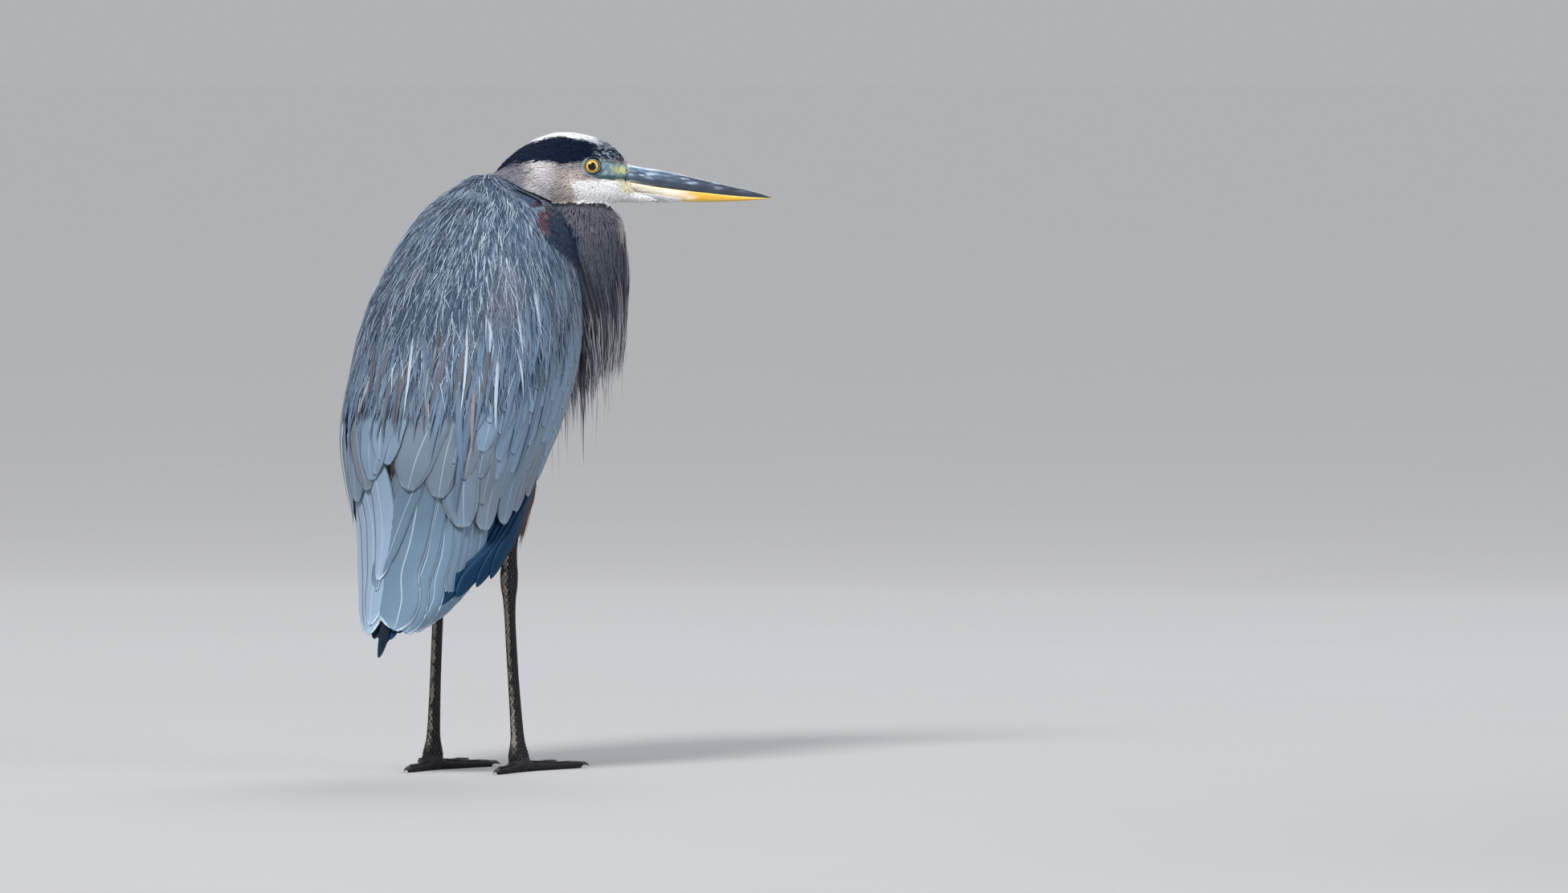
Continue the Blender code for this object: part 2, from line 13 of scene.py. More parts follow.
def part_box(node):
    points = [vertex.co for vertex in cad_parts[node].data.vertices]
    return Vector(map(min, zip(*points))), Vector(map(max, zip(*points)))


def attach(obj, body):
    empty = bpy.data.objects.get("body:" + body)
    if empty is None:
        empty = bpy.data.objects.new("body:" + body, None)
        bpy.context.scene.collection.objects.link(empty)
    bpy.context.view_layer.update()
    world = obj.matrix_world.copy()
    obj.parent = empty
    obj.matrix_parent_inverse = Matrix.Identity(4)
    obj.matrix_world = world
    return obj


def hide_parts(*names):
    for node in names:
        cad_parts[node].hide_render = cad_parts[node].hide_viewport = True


bl_info = {
    "name": "Great Blue Heron Plumage",
    "version": (1, 0, 0),
    "blender": (4, 5, 0),
    "location": "3D Viewport > Sidebar > Heron",
    "description": "Dresses the heron's solids in skin, feathers, scales and horn",
    "category": "Object",
}

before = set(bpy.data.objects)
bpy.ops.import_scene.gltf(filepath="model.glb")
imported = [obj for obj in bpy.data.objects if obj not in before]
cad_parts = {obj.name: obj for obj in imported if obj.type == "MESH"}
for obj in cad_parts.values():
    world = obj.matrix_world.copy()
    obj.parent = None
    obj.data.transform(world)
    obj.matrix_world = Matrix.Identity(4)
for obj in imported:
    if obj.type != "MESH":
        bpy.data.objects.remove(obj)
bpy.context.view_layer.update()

# ---- shapes of the solids
# Millimetres, with the breast towards +X, the bird's left towards +Y, and Z up.
MM = 0.001
HEAD_TURN = -52.0
EYE_CENTRE = np.array([92.6, -69.8, 586.0])
CLOAK_TOP = 579.0
CLOAK = [  # height, x at the spine, x at the front, half width
    (579, 14, 14, 0), (565, -12, 44, 31), (552, -25, 70, 55), (530, -46, 84, 73),
    (505, -66, 94, 84), (480, -85, 99, 91), (459, -99, 101, 96), (431, -112, 100, 101),
    (404, -120, 95, 104), (380, -126, 86, 105), (357, -133, 75, 105), (334, -139, 63, 104),
    (310, -141, 49, 100), (279, -138, 32, 92.5), (256, -135, 24, 87), (240, -134, 21, 84),
    (217, -135, 17, 80.5), (200, -137, 6, 76), (180, -141, -18, 67), (160, -146, -60, 54),
    (139, -151, -95, 38), (120, -155, -122, 24), (105, -158, -135, 13),
]
TRUNK_TOP = 569.0
TRUNK = [
    (569, 15, 15, 0), (552, -6, 52, 37), (530, -28, 69, 57), (505, -49, 80, 69),
    (480, -69, 84, 77), (459, -84, 86, 82), (431, -99, 86, 88), (404, -109, 82, 92.5),
    (380, -116, 73, 95), (357, -123, 65, 95), (334, -129, 53, 94), (310, -131, 39, 90),
    (279, -126, 20, 81), (256, -117, 7, 68), (235, -103, -10, 50), (218, -83, -36, 27),
    (208, -60, -60, 0),
]
LEADING_EDGE = [  # height, turn from the spine in degrees
    (545, 112), (530, 120), (505, 130), (459, 138), (404, 140), (357, 139), (310, 134),
    (279, 130), (243, 125), (214, 108), (198, 102), (178, 97), (139, 90), (105, 80),
]
NECK = [  # height, x, y, half length, half width, heading
    (553, 76.0, -47.0, 42, 11, -51), (545, 77.0, -46.0, 54, 22, -50),
    (534, 79.5, -45.5, 57, 30, -48), (520, 85.7, -44.7, 57, 37, -44),
    (480, 102.0, -37.0, 54, 45, -34), (440, 114.0, -33.0, 47, 48, -28),
    (412, 119.5, -33.0, 34, 42, -28), (390, 122.0, -33.3, 20, 32, -28),
    (370, 122.5, -33.8, 12, 20, -28), (345, 122.5, -35.0, 6, 9, -28),
    (324, 122.0, -36.0, 2.5, 2.5, -28),
]
BILL_START, BILL_TIP = 24.0, 173.5
CULMEN = [(24, 6), (35, 1.5), (72, -5.2), (103, -12.2), (134, -19.5), (158, -25.3), (173.5, -30.3)]
TOMIUM = [(24, -13.5), (35, -15), (64, -20), (103, -25), (150, -29.8), (173.5, -31.2)]
GONYS = [
    (24, -23), (41, -25), (58, -29.5), (76, -33.7), (103, -35), (127, -34.5), (150, -33.5),
    (173.5, -31.9),
]
BILL_WIDTH = [(24, 12.5), (35, 11.6), (76, 7.6), (118, 5), (153, 2.5), (173.5, 0.5)]
EYE_RADIUS, EYE_SPREAD = 8.8, 12.4
LEG_LINES = {  # height, x, y outwards
    "right": [(0, 12, 43.5), (190, -3, 43), (245, 4, 42), (310, 6, 40)],
    "left": [(0, -14, 44.5), (190, -5, 42), (245, 2, 41), (310, 5, 40)],
}
TOE_LENGTHS = {"inner": 76.0, "middle": 94.0, "outer": 86.0, "hind": 52.0}
TOE_HEADINGS = {
    "right": {"outer": -5.0, "middle": 18.0, "inner": 41.0, "hind": -164.0},
    "left": {"inner": -10.0, "middle": 19.0, "outer": 47.0, "hind": -166.0},
}
SIDES = {"left": 1, "right": -1}
FLESH = ["head", "neck_upper", "neck_lower", "trunk", "mantle"] + [
    f"{part}_{side}" for part in ("wing", "thigh", "leg", "foot") for side in SIDES
]


def box_middle(*nodes):
    corners = [np.array(corner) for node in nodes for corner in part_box(node)]
    return (np.min(corners, axis=0) + np.max(corners, axis=0)) / 2


# The solids stand on the middle of their own box, so the tables above are shifted to it.
SHIFT = box_middle("eye_left", "eye_right") - EYE_CENTRE * MM


def smooth_curve(rows):
    """A function of the first column that gives the others, on curves with no overshoot."""
    rows = np.array(sorted(rows), float)
    at, values = rows[:, 0], rows[:, 1:]
    slope = np.diff(values, axis=0) / np.diff(at)[:, None]
    before, after = slope[:-1], slope[1:]
    total = np.where(np.abs(before + after) > 1e-9, before + after, 1.0)
    inner = np.where(before * after > 0, 2 * before * after / total, 0.0)
    tangent = np.vstack([slope[:1], inner, slope[-1:]])

    def value(x):
        x = np.clip(np.asarray(x, float), at[0], at[-1])
        i = np.clip(np.searchsorted(at, x, side="right") - 1, 0, len(at) - 2)
        step = (at[i + 1] - at[i])[..., None]
        t = (x - at[i])[..., None] / step
        h = [2 * t**3 - 3 * t**2 + 1, t**3 - 2 * t**2 + t, 3 * t**2 - 2 * t**3, t**3 - t**2]
        ends = h[0] * values[i] + h[2] * values[i + 1]
        return ends + step * (h[1] * tangent[i] + h[3] * tangent[i + 1])

    return value


def domed_curve(rows, top):
    """The same, eased so that the sections round over into a dome at the top."""
    inner = smooth_curve([(math.sqrt(top - row[0]), *row[1:]) for row in rows])
    return lambda height: inner(np.sqrt(np.maximum(top - np.asarray(height, float), 0.0)))


def single_curve(rows):
    curve = smooth_curve(rows)
    return lambda x: curve(x)[..., 0]


cloak_section = domed_curve(CLOAK, CLOAK_TOP)
trunk_section = domed_curve(TRUNK, TRUNK_TOP)
leading_edge = single_curve(LEADING_EDGE)
culmen, tomium, gonys = (single_curve(rows) for rows in (CULMEN, TOMIUM, GONYS))
bill_width = single_curve(BILL_WIDTH)
chin_line = single_curve([
    (24, -22.8), (32, -24.6), (42, -25.2), (55, -26.6), (75, -29.4), (86, -31.8), (100, -40),
])
neck_section = smooth_curve(NECK)


def unit(vectors):
    return vectors / np.maximum(np.linalg.norm(vectors, axis=-1, keepdims=True), 1e-12)


def section_point(section, turn, height):
    """Points of level sections, turned this far from the spine towards the left."""
    turn, height = np.broadcast_arrays(np.asarray(turn, float), np.asarray(height, float))
    back, front, half_width = np.moveaxis(section(height), -1, 0)
    half_depth = np.maximum((front - back) / 2, 1e-3)
    n = 2.2
    reach = (np.abs(np.cos(turn)) / half_depth) ** n
    reach = reach + (np.abs(np.sin(turn)) / np.maximum(half_width, 1e-3)) ** n
    radius = reach ** (-1 / n)
    x = (back + front) / 2 - radius * np.cos(turn)
    return np.stack([x, radius * np.sin(turn), height], axis=-1)


def body_point(section, top, turn, height, depth):
    """Points this deep under a stack of sections, in millimetres."""
    point = section_point(section, turn, height)
    step = 0.02
    around = section_point(section, turn + step, height)
    around = around - section_point(section, turn - step, height)
    above = section_point(section, turn, np.minimum(height + 1, top - 0.5))
    outward = np.cross(above - section_point(section, turn, height - 1), around)
    return point - np.asarray(depth)[..., None] * unit(outward)


def cloak_point(turn, height, depth):
    return body_point(cloak_section, CLOAK_TOP, turn, height, depth)


def head_frame():
    """The head's axes as rows: forward, to its left, and up."""
    turn = math.radians(HEAD_TURN)
    return np.array(
        [[math.cos(turn), math.sin(turn), 0], [-math.sin(turn), math.cos(turn), 0], [0, 0, 1.0]]
    )


def from_head(points):
    """Head coordinates, forward, left and up from between the eyes, to the bird's."""
    return np.asarray(points, float) @ head_frame() + EYE_CENTRE


def to_head(points):
    return (np.asarray(points, float) - EYE_CENTRE) @ head_frame().T


def to_scene(points):
    return np.asarray(points, float) * MM + SHIFT


def from_scene(points):
    return (points - SHIFT) / MM


# ---- settings
class HeronSettings(bpy.types.PropertyGroup):
    feather_density: bpy.props.FloatProperty(
        name="Feather density",
        description="How many feathers and tufts the coat has, as a share of the full count",
        default=1.0, min=0.1, max=1.0, subtype="FACTOR"
    )
    skin_voxel: bpy.props.FloatProperty(
        name="Skin detail", description="Grain of the skin under the feathers", default=0.0032,
        min=0.002, max=0.01, unit="LENGTH",
    )
    iris_colour: bpy.props.FloatVectorProperty(
        name="Iris", description="Colour of the iris", size=3, subtype="COLOR",
        default=(0.60, 0.33, 0.03), min=0.0, max=1.0,
    )
    bill_colour: bpy.props.FloatVectorProperty(
        name="Lower bill", description="Colour of the lower bill towards its tip", size=3,
        subtype="COLOR", default=(0.72, 0.40, 0.035), min=0.0, max=1.0,
    )
    floor_colour: bpy.props.FloatVectorProperty(
        name="Floor", description="Colour of the studio floor", size=3, subtype="COLOR",
        default=(0.625, 0.635, 0.655), min=0.0, max=1.0,
    )
    lens: bpy.props.FloatProperty(
        name="Lens", description="Focal length of the camera", default=300.0, min=20.0,
        max=800.0, unit="CAMERA",
    )


# ---- shader expressions
class Wire:
    """A socket's output; arithmetic on it adds Math nodes to its tree."""

    def __init__(self, tree, socket):
        self.tree, self.socket = tree, socket

    def _math(self, operation, *values):
        return add_node(
            self.tree, "ShaderNodeMath", {"operation": operation}, dict(enumerate(values))
        )

    def __add__(self, other):
        return self._math("ADD", self, other)

    def __mul__(self, other):
        return self._math("MULTIPLY", self, other)

    def __sub__(self, other):
        return self._math("SUBTRACT", self, other)

    def __rsub__(self, other):
        return self._math("SUBTRACT", other, self)

    def __truediv__(self, other):
        return self._math("DIVIDE", self, other)

    def __pow__(self, other):
        return self._math("POWER", self, other)

    __radd__, __rmul__ = __add__, __mul__

    def clip(self):
        return self._math("MINIMUM", self._math("MAXIMUM", self, 0.0), 1.0)

    def wave(self):
        return self._math("SINE", self)

    def size(self):
        return self._math("ABSOLUTE", self)

    def ramp(self, low, high):
        """0 below low and 1 above high, eased in between."""
        settings = {"interpolation_type": "SMOOTHSTEP"}
        return add_node(self.tree, "ShaderNodeMapRange", settings, {0: self, 1: low, 2: high})


def add_node(tree, kind, settings=None, inputs=None, output=0):
    """A node of this type with its settings made first, then its sockets set or linked."""
    node = tree.nodes.new(kind)
    for name, value in (settings or {}).items():
        if name == "stops":
            ramp = node.color_ramp
            while len(ramp.elements) < len(value):
                ramp.elements.new(0.5)
            for element, (place, colour) in zip(ramp.elements, value):
                element.position, element.color = place, (*colour, 1.0)
        else:
            setattr(node, name, value)
    for key, value in (inputs or {}).items():
        socket = node.inputs[key]
        if isinstance(value, Wire):
            tree.links.new(value.socket, socket)
        elif socket.type == "RGBA":
            socket.default_value = (*value, 1.0)
        else:
            socket.default_value = value
    return Wire(tree, node.outputs[output])


class Finish:
    """A material under construction, with its usual sources and its shader."""

    def __init__(self, name, roughness=0.7, **constants):
        self.material = bpy.data.materials.new(name)
        self.material.use_nodes = True
        self.tree = self.material.node_tree
        self.shader = self.tree.nodes["Principled BSDF"]
        self.set("Roughness", roughness)
        for key, value in constants.items():
            self.set(key.replace("_", " "), value)

    def set(self, socket, value):
        if isinstance(value, Wire):
            self.tree.links.new(value.socket, self.shader.inputs[socket])
        else:
            self.shader.inputs[socket].default_value = value

    def node(self, kind, settings=None, inputs=None, output=0):
        return add_node(self.tree, kind, settings, inputs, output)

    def attribute(self, name, output=0):
        return self.node("ShaderNodeAttribute", {"attribute_name": name}, output=output)

    def place(self):
        return self.node("ShaderNodeTexCoord", output=3)

    def stretch(self, scale, turn=(0.0, 0.0, 0.0)):
        inputs = {0: self.place(), "Scale": scale, "Rotation": turn}
        return self.node("ShaderNodeMapping", inputs=inputs)

    def noise(self, vector, scale, detail):
        inputs = {"Vector": vector, "Scale": scale, "Detail": detail, "Roughness": 0.55}
        return self.node("ShaderNodeTexNoise", inputs=inputs)

    def split(self, vector):
        tree_node = self.tree.nodes.new("ShaderNodeSeparateXYZ")
        self.tree.links.new(vector.socket, tree_node.inputs[0])
        return [Wire(self.tree, socket) for socket in tree_node.outputs]

    def mix(self, factor, first, second, blend="MIX"):
        settings = {"data_type": "RGBA", "blend_type": blend}
        inputs = {0: factor, 6: first, 7: second}
        return self.node("ShaderNodeMix", settings, inputs, output=2)

    def stained(self, shade):
        """The piece's own tint, times this shade."""
        grey = self.node("ShaderNodeCombineColor", inputs={0: shade, 1: shade, 2: shade})
        return self.mix(1.0, self.attribute("tint"), grey, "MULTIPLY")

    def bump(self, height, strength, distance):
        inputs = {"Height": height, "Strength": strength, "Distance": distance}
        self.set("Normal", self.node("ShaderNodeBump", inputs=inputs))


# ---- mesh helpers
def placed(name, data):
    """A new object in the scene that holds this data."""
    made = bpy.data.objects.new(name, data)
    bpy.context.scene.collection.objects.link(made)
    return made


def evaluated_mesh(helper):
    """The mesh that a helper's modifiers make; the helper itself goes."""
    graph = bpy.context.evaluated_depsgraph_get()
    made = bpy.data.meshes.new_from_object(helper.evaluated_get(graph))
    bpy.data.objects.remove(helper)
    return made


def finish_piece(mesh, name, finish, replaced=()):
    mesh.validate()
    mesh.shade_smooth()
    mesh.materials.clear()
    mesh.materials.append(finish)
    made = placed(name, mesh)
    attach(made, "root")
    if replaced:
        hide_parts(*replaced)


def circle(count):
    """Angles evenly round a full turn."""
    return np.linspace(0, 2 * math.pi, count, endpoint=False)


def grid_faces(rows, columns, closed=False):
    """Quads of a grid of points, numbered row by row."""
    across = columns if closed else columns - 1
    r, c = np.meshgrid(np.arange(rows - 1), np.arange(across), indexing="ij")
    a, b = r * columns + c, r * columns + (c + 1) % columns
    return np.stack([a, b, b + columns, a + columns], axis=-1).reshape(-1, 4)


def flipped(faces):
    """Quads and triangles turned over, with the same diagonals."""
    whole = (faces[:, 2] != faces[:, 3])[:, None]
    return np.where(whole, faces[:, [0, 3, 2, 1]], faces[:, [1, 0, 2, 3]])


def joined(parts):
    """Points and quads of several shapes, given as pairs, numbered as one."""
    starts = np.cumsum([0] + [len(points) for points, _ in parts])
    quads = [faces + start for (_, faces), start in zip(parts, starts)]
    return np.vstack([points for points, _ in parts]), np.vstack(quads)


def repeated(faces, shapes):
    """One shape's faces for each of these equal shapes, numbered as one."""
    starts = np.arange(len(shapes)) * shapes.shape[1]
    return (faces[None] + starts[:, None, None]).reshape(-1, 4)


def mesh_from_arrays(name, points, quads):
    """A mesh of quads straight from arrays; a repeated corner makes a triangle."""
    mesh = bpy.data.meshes.new(name)
    quads = np.asarray(quads, np.int32)
    whole = quads[:, 2] != quads[:, 3]
    sizes = np.where(whole, 4, 3)
    keep = np.ones(quads.shape, bool)
    keep[:, 3] = whole
    mesh.vertices.add(len(points))
    mesh.vertices.foreach_set("co", np.asarray(points, np.float32).ravel())
    mesh.loops.add(int(sizes.sum()))
    mesh.loops.foreach_set("vertex_index", quads[keep].astype(np.int32))
    mesh.polygons.add(len(quads))
    starts = np.concatenate([[0], np.cumsum(sizes)[:-1]]).astype(np.int32)
    mesh.polygons.foreach_set("loop_start", starts)
    mesh.update(calc_edges=True)
    return mesh


def corner_values(mesh, per_point):
    """Values given per point, spread to the mesh's face corners."""
    index = np.empty(len(mesh.loops), np.int32)
    mesh.loops.foreach_get("vertex_index", index)
    return per_point[index]


def add_uv(mesh, name, per_point, active=False):
    layer = mesh.uv_layers.new(name=name)
    layer.data.foreach_set("uv", corner_values(mesh, per_point).astype(np.float32).ravel())
    if active:
        mesh.uv_layers.active = layer
        layer.active_render = True


def add_colour(mesh, name, per_point):
    values = np.ones((len(per_point), 4), np.float32)
    values[:, :3] = per_point
    attribute = mesh.color_attributes.new(name, "FLOAT_COLOR", "POINT")
    attribute.data.foreach_set("color", values.ravel())


# ---- plumage colours
def tone(code):
    """A linear colour from a hexadecimal screen colour."""
    parts = np.array([(code >> shift & 255) / 255 for shift in (16, 8, 0)])
    return np.where(parts <= 0.04045, parts / 12.92, ((parts + 0.055) / 1.055) ** 2.4)


def ease(value, low, high):
    share = np.clip((value - low) / (high - low), 0, 1)
    return share * share * (3 - 2 * share)


def mottle(points, size, seed=0.0):
    """A smooth, repeatable unevenness from -1 to 1, this many millimetres across."""
    p = np.asarray(points) / size * 2.2 + seed
    return (
        np.sin(p[:, 0] * 1.7 + 1.3 * np.sin(p[:, 1] * 1.1 + seed))
        + np.sin(p[:, 1] * 1.9 + 1.7 * np.sin(p[:, 2] * 0.9))
        + np.sin(p[:, 2] * 1.5 + 1.1 * np.sin(p[:, 0] * 1.3 + 2.0))
    ) / 3


def blend(first, second, share):
    return first + (second - first) * np.asarray(share)[..., None]


def layered(colour, *layers):
    """A colour with others laid over it in turn, each by its share."""
    for over, share in layers:
        colour = blend(colour, tone(over) if isinstance(over, int) else over, share)
    return colour


BLACK_CROWN, WHITE, CHEEK, NAPE = tone(0x04142A), tone(0xFFFFFF), tone(0xBCADA8), tone(0x666570)
NAVY, LID_GREY, PALE_PLUME = tone(0x06233E), tone(0x59625F), tone(0xB6C6D7)
NECK_GREY, BACK_BLUE, WING_BLUE = tone(0x454D5B), tone(0x33475F), tone(0x62788F)
BELLY_BLACK, THIGH_RUST, LEG_BLACK = tone(0x1B1E24), tone(0x5E4238), tone(0x222226)


def head_colour(points):
    x, y, z = to_head(points).T
    wobble = mottle(points, 9.0) * 1.2
    throat = ease(x + wobble + 0.25 * z, -24, -14) * ease(-z + 0.5 * wobble, 11.5, 14.5)
    low = np.interp(x, [-100, -88, -72, -45, -23, 0, 12, 30], [-13, 1, 7.5, 7, 2.8, 6.5, 8.2, 5.0])
    crown = ease(z + 0.5 * wobble - low, -1.2, 1.0)
    band = np.interp(x, [-62, -45, -20, 8, 24], [2, 8.0, 10.5, 8.5, 6.0])
    white_top = ease(band - np.abs(y) + wobble, -1.0, 1.5) * ease(z - low, 6, 11)
    speckle = mottle(points, 2.6, 1.7) * 0.6 + mottle(points, 1.5, 4.1) * 0.6
    speckled = blend(tone(0x1C2C3C), tone(0xB7C6D6), ease(speckle, -0.05, 0.45))
    return layered(
        tone(0x8E8A8E),
        (NAPE, ease(-x, 34, 75)),
        (CHEEK, ease(-x + wobble, -14, 0) * ease(x, -34, -16) * ease(-z, 0, 7)),
        (0xC9C5C7, ease(-x, 24, 40) * ease(x, -62, -46) * ease(12 + z * 0.8, -14, 6) * 0.8),
        (WHITE, throat),
        (WHITE, ease(-z, 34, 39) * ease(x, -30, -10)),
        (BLACK_CROWN, crown),
        (0xE6EAF0, white_top * crown * ease(x, -62, -44)),
        (speckled, ease(x, 2, 14) * ease(z - low, -1, 2) * 0.85),
    )


def lore_share(points):
    """Where the face is bare, from the eye to the bill."""
    x, y, z = to_head(points).T
    top = np.interp(x, [6, 14, 26, 36], [8.5, 6.8, 3.0, 0.5]) + mottle(points, 4.0) * 1.2
    bottom = np.interp(x, [-8, 0, 20, 40], [-10.0, -11.5, -13.5, -15.0])
    inside = ease(top - z, -0.6, 0.8) * ease(z - bottom, -0.6, 0.8) * ease(x, 4.0, 6.5)
    ring = ease(9.8 - np.hypot(x, z), -0.4, 0.8)
    gape = ease(-6.5 - z, -0.5, 0.8) * ease(z - bottom, -0.6, 0.8) * ease(x, -9, -6)
    return np.clip(inside + ring + gape, 0, 1) * ease(np.abs(y), 4, 7)


def gape_share(points):
    """Where the lower bill's pale horn runs back under the face."""
    x, y, z = to_head(points).T
    behind = ease(x - 24.0 - 0.66 * (-13.3 - z), -0.3, 1.0) * ease(np.abs(y), 3, 5)
    return behind * ease(-13.0 - 0.12 * (x - 24) - z, -0.4, 0.5) * ease(z + 25.3, -0.8, 0.6)


def neck_colour(points):
    x, y, z = points.T
    line = neck_section(z)
    heading = np.radians(line[:, 4])
    ahead = (x - line[:, 0]) * np.cos(heading) + (y - line[:, 1]) * np.sin(heading)
    reach = ahead / np.maximum(line[:, 2], 4)
    streak = ease(mottle(points * np.array([1, 1, 0.18]), 5.0, 2.2), 0.0, 0.5)
    streaked = blend(tone(0xB9B2AE), tone(0x2B2628), streak)
    rim = cloak_point(np.radians(leading_edge(z)), z, 2.0) * np.array([1, 1, 0])
    gap = np.linalg.norm(np.stack([x, np.abs(y), 0 * x], axis=1) - rim, axis=1)
    wide = np.interp(z, [440, 462, 480, 504, 526, 540, 550, 555], [0, 4, 7, 11, 14, 12, 2, 0])
    return layered(
        NECK_GREY,
        (0x414751, ease(mottle(points, 22.0), -0.5, 0.8)),
        (0x5A5A63, ease(z, 470, 545) * 0.6),
        (0x5A5C66, ease(-z, -440, -360) * 0.7),
        (streaked, ease(reach, 0.84, 0.97) * ease(z, 505, 525) * 0.8),
        (NAVY, ease(wide - gap, -1.0, 2.5)),
    )


def back_turn(points):
    """How far round from the spine points lie, in degrees towards the left."""
    section = cloak_section(points[:, 2])
    middle = (section[:, 0] + section[:, 1]) / 2
    return np.degrees(np.arctan2(points[:, 1], middle - points[:, 0]))


def shoulder_share(points):
    """The black patch at the bend of each wing, and its rusty rear edge."""
    z = points[:, 2]
    edge = leading_edge(z) - np.abs(back_turn(points))
    width = np.interp(
        z, [455, 480, 493, 504, 515, 526, 537, 547, 555], [0, 3, 8, 19, 31, 39, 39, 30, 0]
    )
    width = width + mottle(points, 5.0, 3.0) * 1.6
    inside = ease(width - edge, -1.5, 2.0) * ease(z, 452, 480) * ease(-z, -557, -552)
    rust = ease(edge - width + 9, -3.0, 3.0) * ease(z, 527, 535) * ease(-z, -555, -549)
    return inside, rust * inside


def coat_colour(points, zone):
    """The plumage's colour at points in millimetres, with painted light on the sides of the back;
    skin and feathers share it.
    """
    points = np.asarray(points, float)
    height = points[:, 2]
    uneven = mottle(points, 30.0, 0.6)[:, None] * 0.05
    back = blend(BACK_BLUE, WING_BLUE, ease(-height, -440, -300))
    back = blend(back, tone(0x8A8791), 0.25 * ease(mottle(points, 55.0, 3.0), 0.1, 0.9))
    # Painted light: the back's colour is lightened towards its sides, away from the spine.
    back = back * (1 + 0.3 * ease(np.abs(back_turn(points)), 25, 80))[:, None]
    patch, rust = shoulder_share(points)
    back = blend(back, NAVY, patch)
    flecks = ease(mottle(points * np.array([1, 1, 0.4]), 3.4, 1.4), 0.55, 0.8)
    back = blend(back, blend(tone(0x533238), tone(0xA9A0A6), flecks), rust * 0.85)
    lore = np.maximum(lore_share(points), gape_share(points))
    x, _, z = to_head(points).T
    bare = layered(
        tone(0x67828F),
        (0x93A7B2, ease(mottle(points, 4.0, 1.0), -0.2, 0.8)),
        (0xC4C87E, ease(x, 14, 27) * ease(-np.abs(z + 3.6 + 0.1 * (x - 28)), -5.6, -0.4) * 0.9),
        (0x3C5253, ease(-8.0 - z, -1.5, 2.5)),
        (0xA3B2B8, ease(10.2 - np.hypot(x, z), 0, 1.0) * ease(-x, -6, 2) * 0.9),
        (0xF4ECCC, gape_share(points)),
    )
    choices = {
        "head": blend(head_colour(points), bare, lore),
        "neck": neck_colour(points),
        "back": back * (1 + uneven),
        "belly": np.broadcast_to(BELLY_BLACK, points.shape),
        "thigh": blend(THIGH_RUST, tone(0x4C4548), ease(mottle(points, 8.0), -0.4, 0.6)),
        "leg": blend(LEG_BLACK, tone(0x1D1C20), ease(mottle(points, 14.0), -0.4, 0.6)),
    }
    colour = np.zeros(points.shape)
    for number, name in enumerate(ZONES):
        colour = np.where((zone == number)[:, None], choices[name], colour)
    return np.clip(colour, 0, 1)


# ---- skin and its guide
GUIDE = {}  # the surface that the feathers lie on, once build_skin has made it
HEAD_VOXEL, LEG_VOXEL = 0.0013, 0.0012
NECK_END = 412  # the skin of the neck stops about here, and only plumes hang lower
# Painted shade: the skin under the coat is the plumage's colour darkened by this share.
PAINTED_DOWN_SHADE = 0.62  # the skin between the feathers, against the plumage
ZONES = ["head", "neck", "back", "belly", "thigh", "leg"]
ZONE_OF = {"head": "head", "neck": "neck", "thigh": "thigh", "leg": "leg", "foot": "leg"}
MANTLE_LOW = single_curve([
    (0, 345), (40, 352), (75, 384), (100, 432), (120, 500), (140, 536), (180, 548),
])


def zone_of(node):
    return ZONES.index(ZONE_OF[node.split("_")[0]])


def zoned(points, name):
    return np.full(len(points), ZONES.index(name))


def body_shell():
    """The closed outside of the back, the folded wings and the breast, with its zones."""
    rows, sides, low = 80, 120, 209.0
    drop = np.linspace(0, 1, rows + 1)[1:]
    height = CLOAK_TOP - (CLOAK_TOP - low) * drop**1.4
    turn = circle(sides)
    z, t = np.meshgrid(height, turn, indexing="ij")
    away = np.degrees(np.minimum(t, 2 * math.pi - t))
    winged = ease(leading_edge(z) + 1 - away, -4, 4)
    capped = ease(z - MANTLE_LOW(away) + 15, -4, 4)
    share = np.maximum(winged, capped) * ease(z, 300, 350)
    share = np.where(z > 566, 1.0, share)
    inner = section_point(trunk_section, t, z)
    points = inner + (cloak_point(t, z, -0.8 * capped) - inner) * share[..., None]
    ends = np.array([[14.0, 0, CLOAK_TOP], [-60.0, 0, low - 1]])
    points = np.vstack([points.reshape(-1, 3), ends])
    quads = grid_faces(rows, sides, closed=True)[:, ::-1].tolist()
    zones = [2 if s > 0.5 else 3 for s in share[:-1].ravel()]
    last = (rows - 1) * sides
    for i in range(sides):
        j = (i + 1) % sides
        quads += [(i, j, rows * sides), (last + j, last + i, rows * sides + 1)]
        zones += [2, 3]
    return to_scene(points).tolist(), [tuple(q) for q in quads], np.array(zones)


def node_arrays(names):
    """Merged points and triangles of these solids, with each triangle's zone."""
    points, faces, zones = [], [], []
    offset = 0
    for name in names:
        shape = bmesh.new()
        shape.from_mesh(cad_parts[name].data)
        bmesh.ops.remove_doubles(shape, verts=shape.verts, dist=1e-6)
        shape.verts.ensure_lookup_table()
        points += [tuple(v.co) for v in shape.verts]
        faces += [tuple(v.index + offset for v in face.verts) for face in shape.faces]
        zones += [zone_of(name)] * len(shape.faces)
        offset += len(shape.verts)
        shape.free()
    return points, faces, np.array(zones)


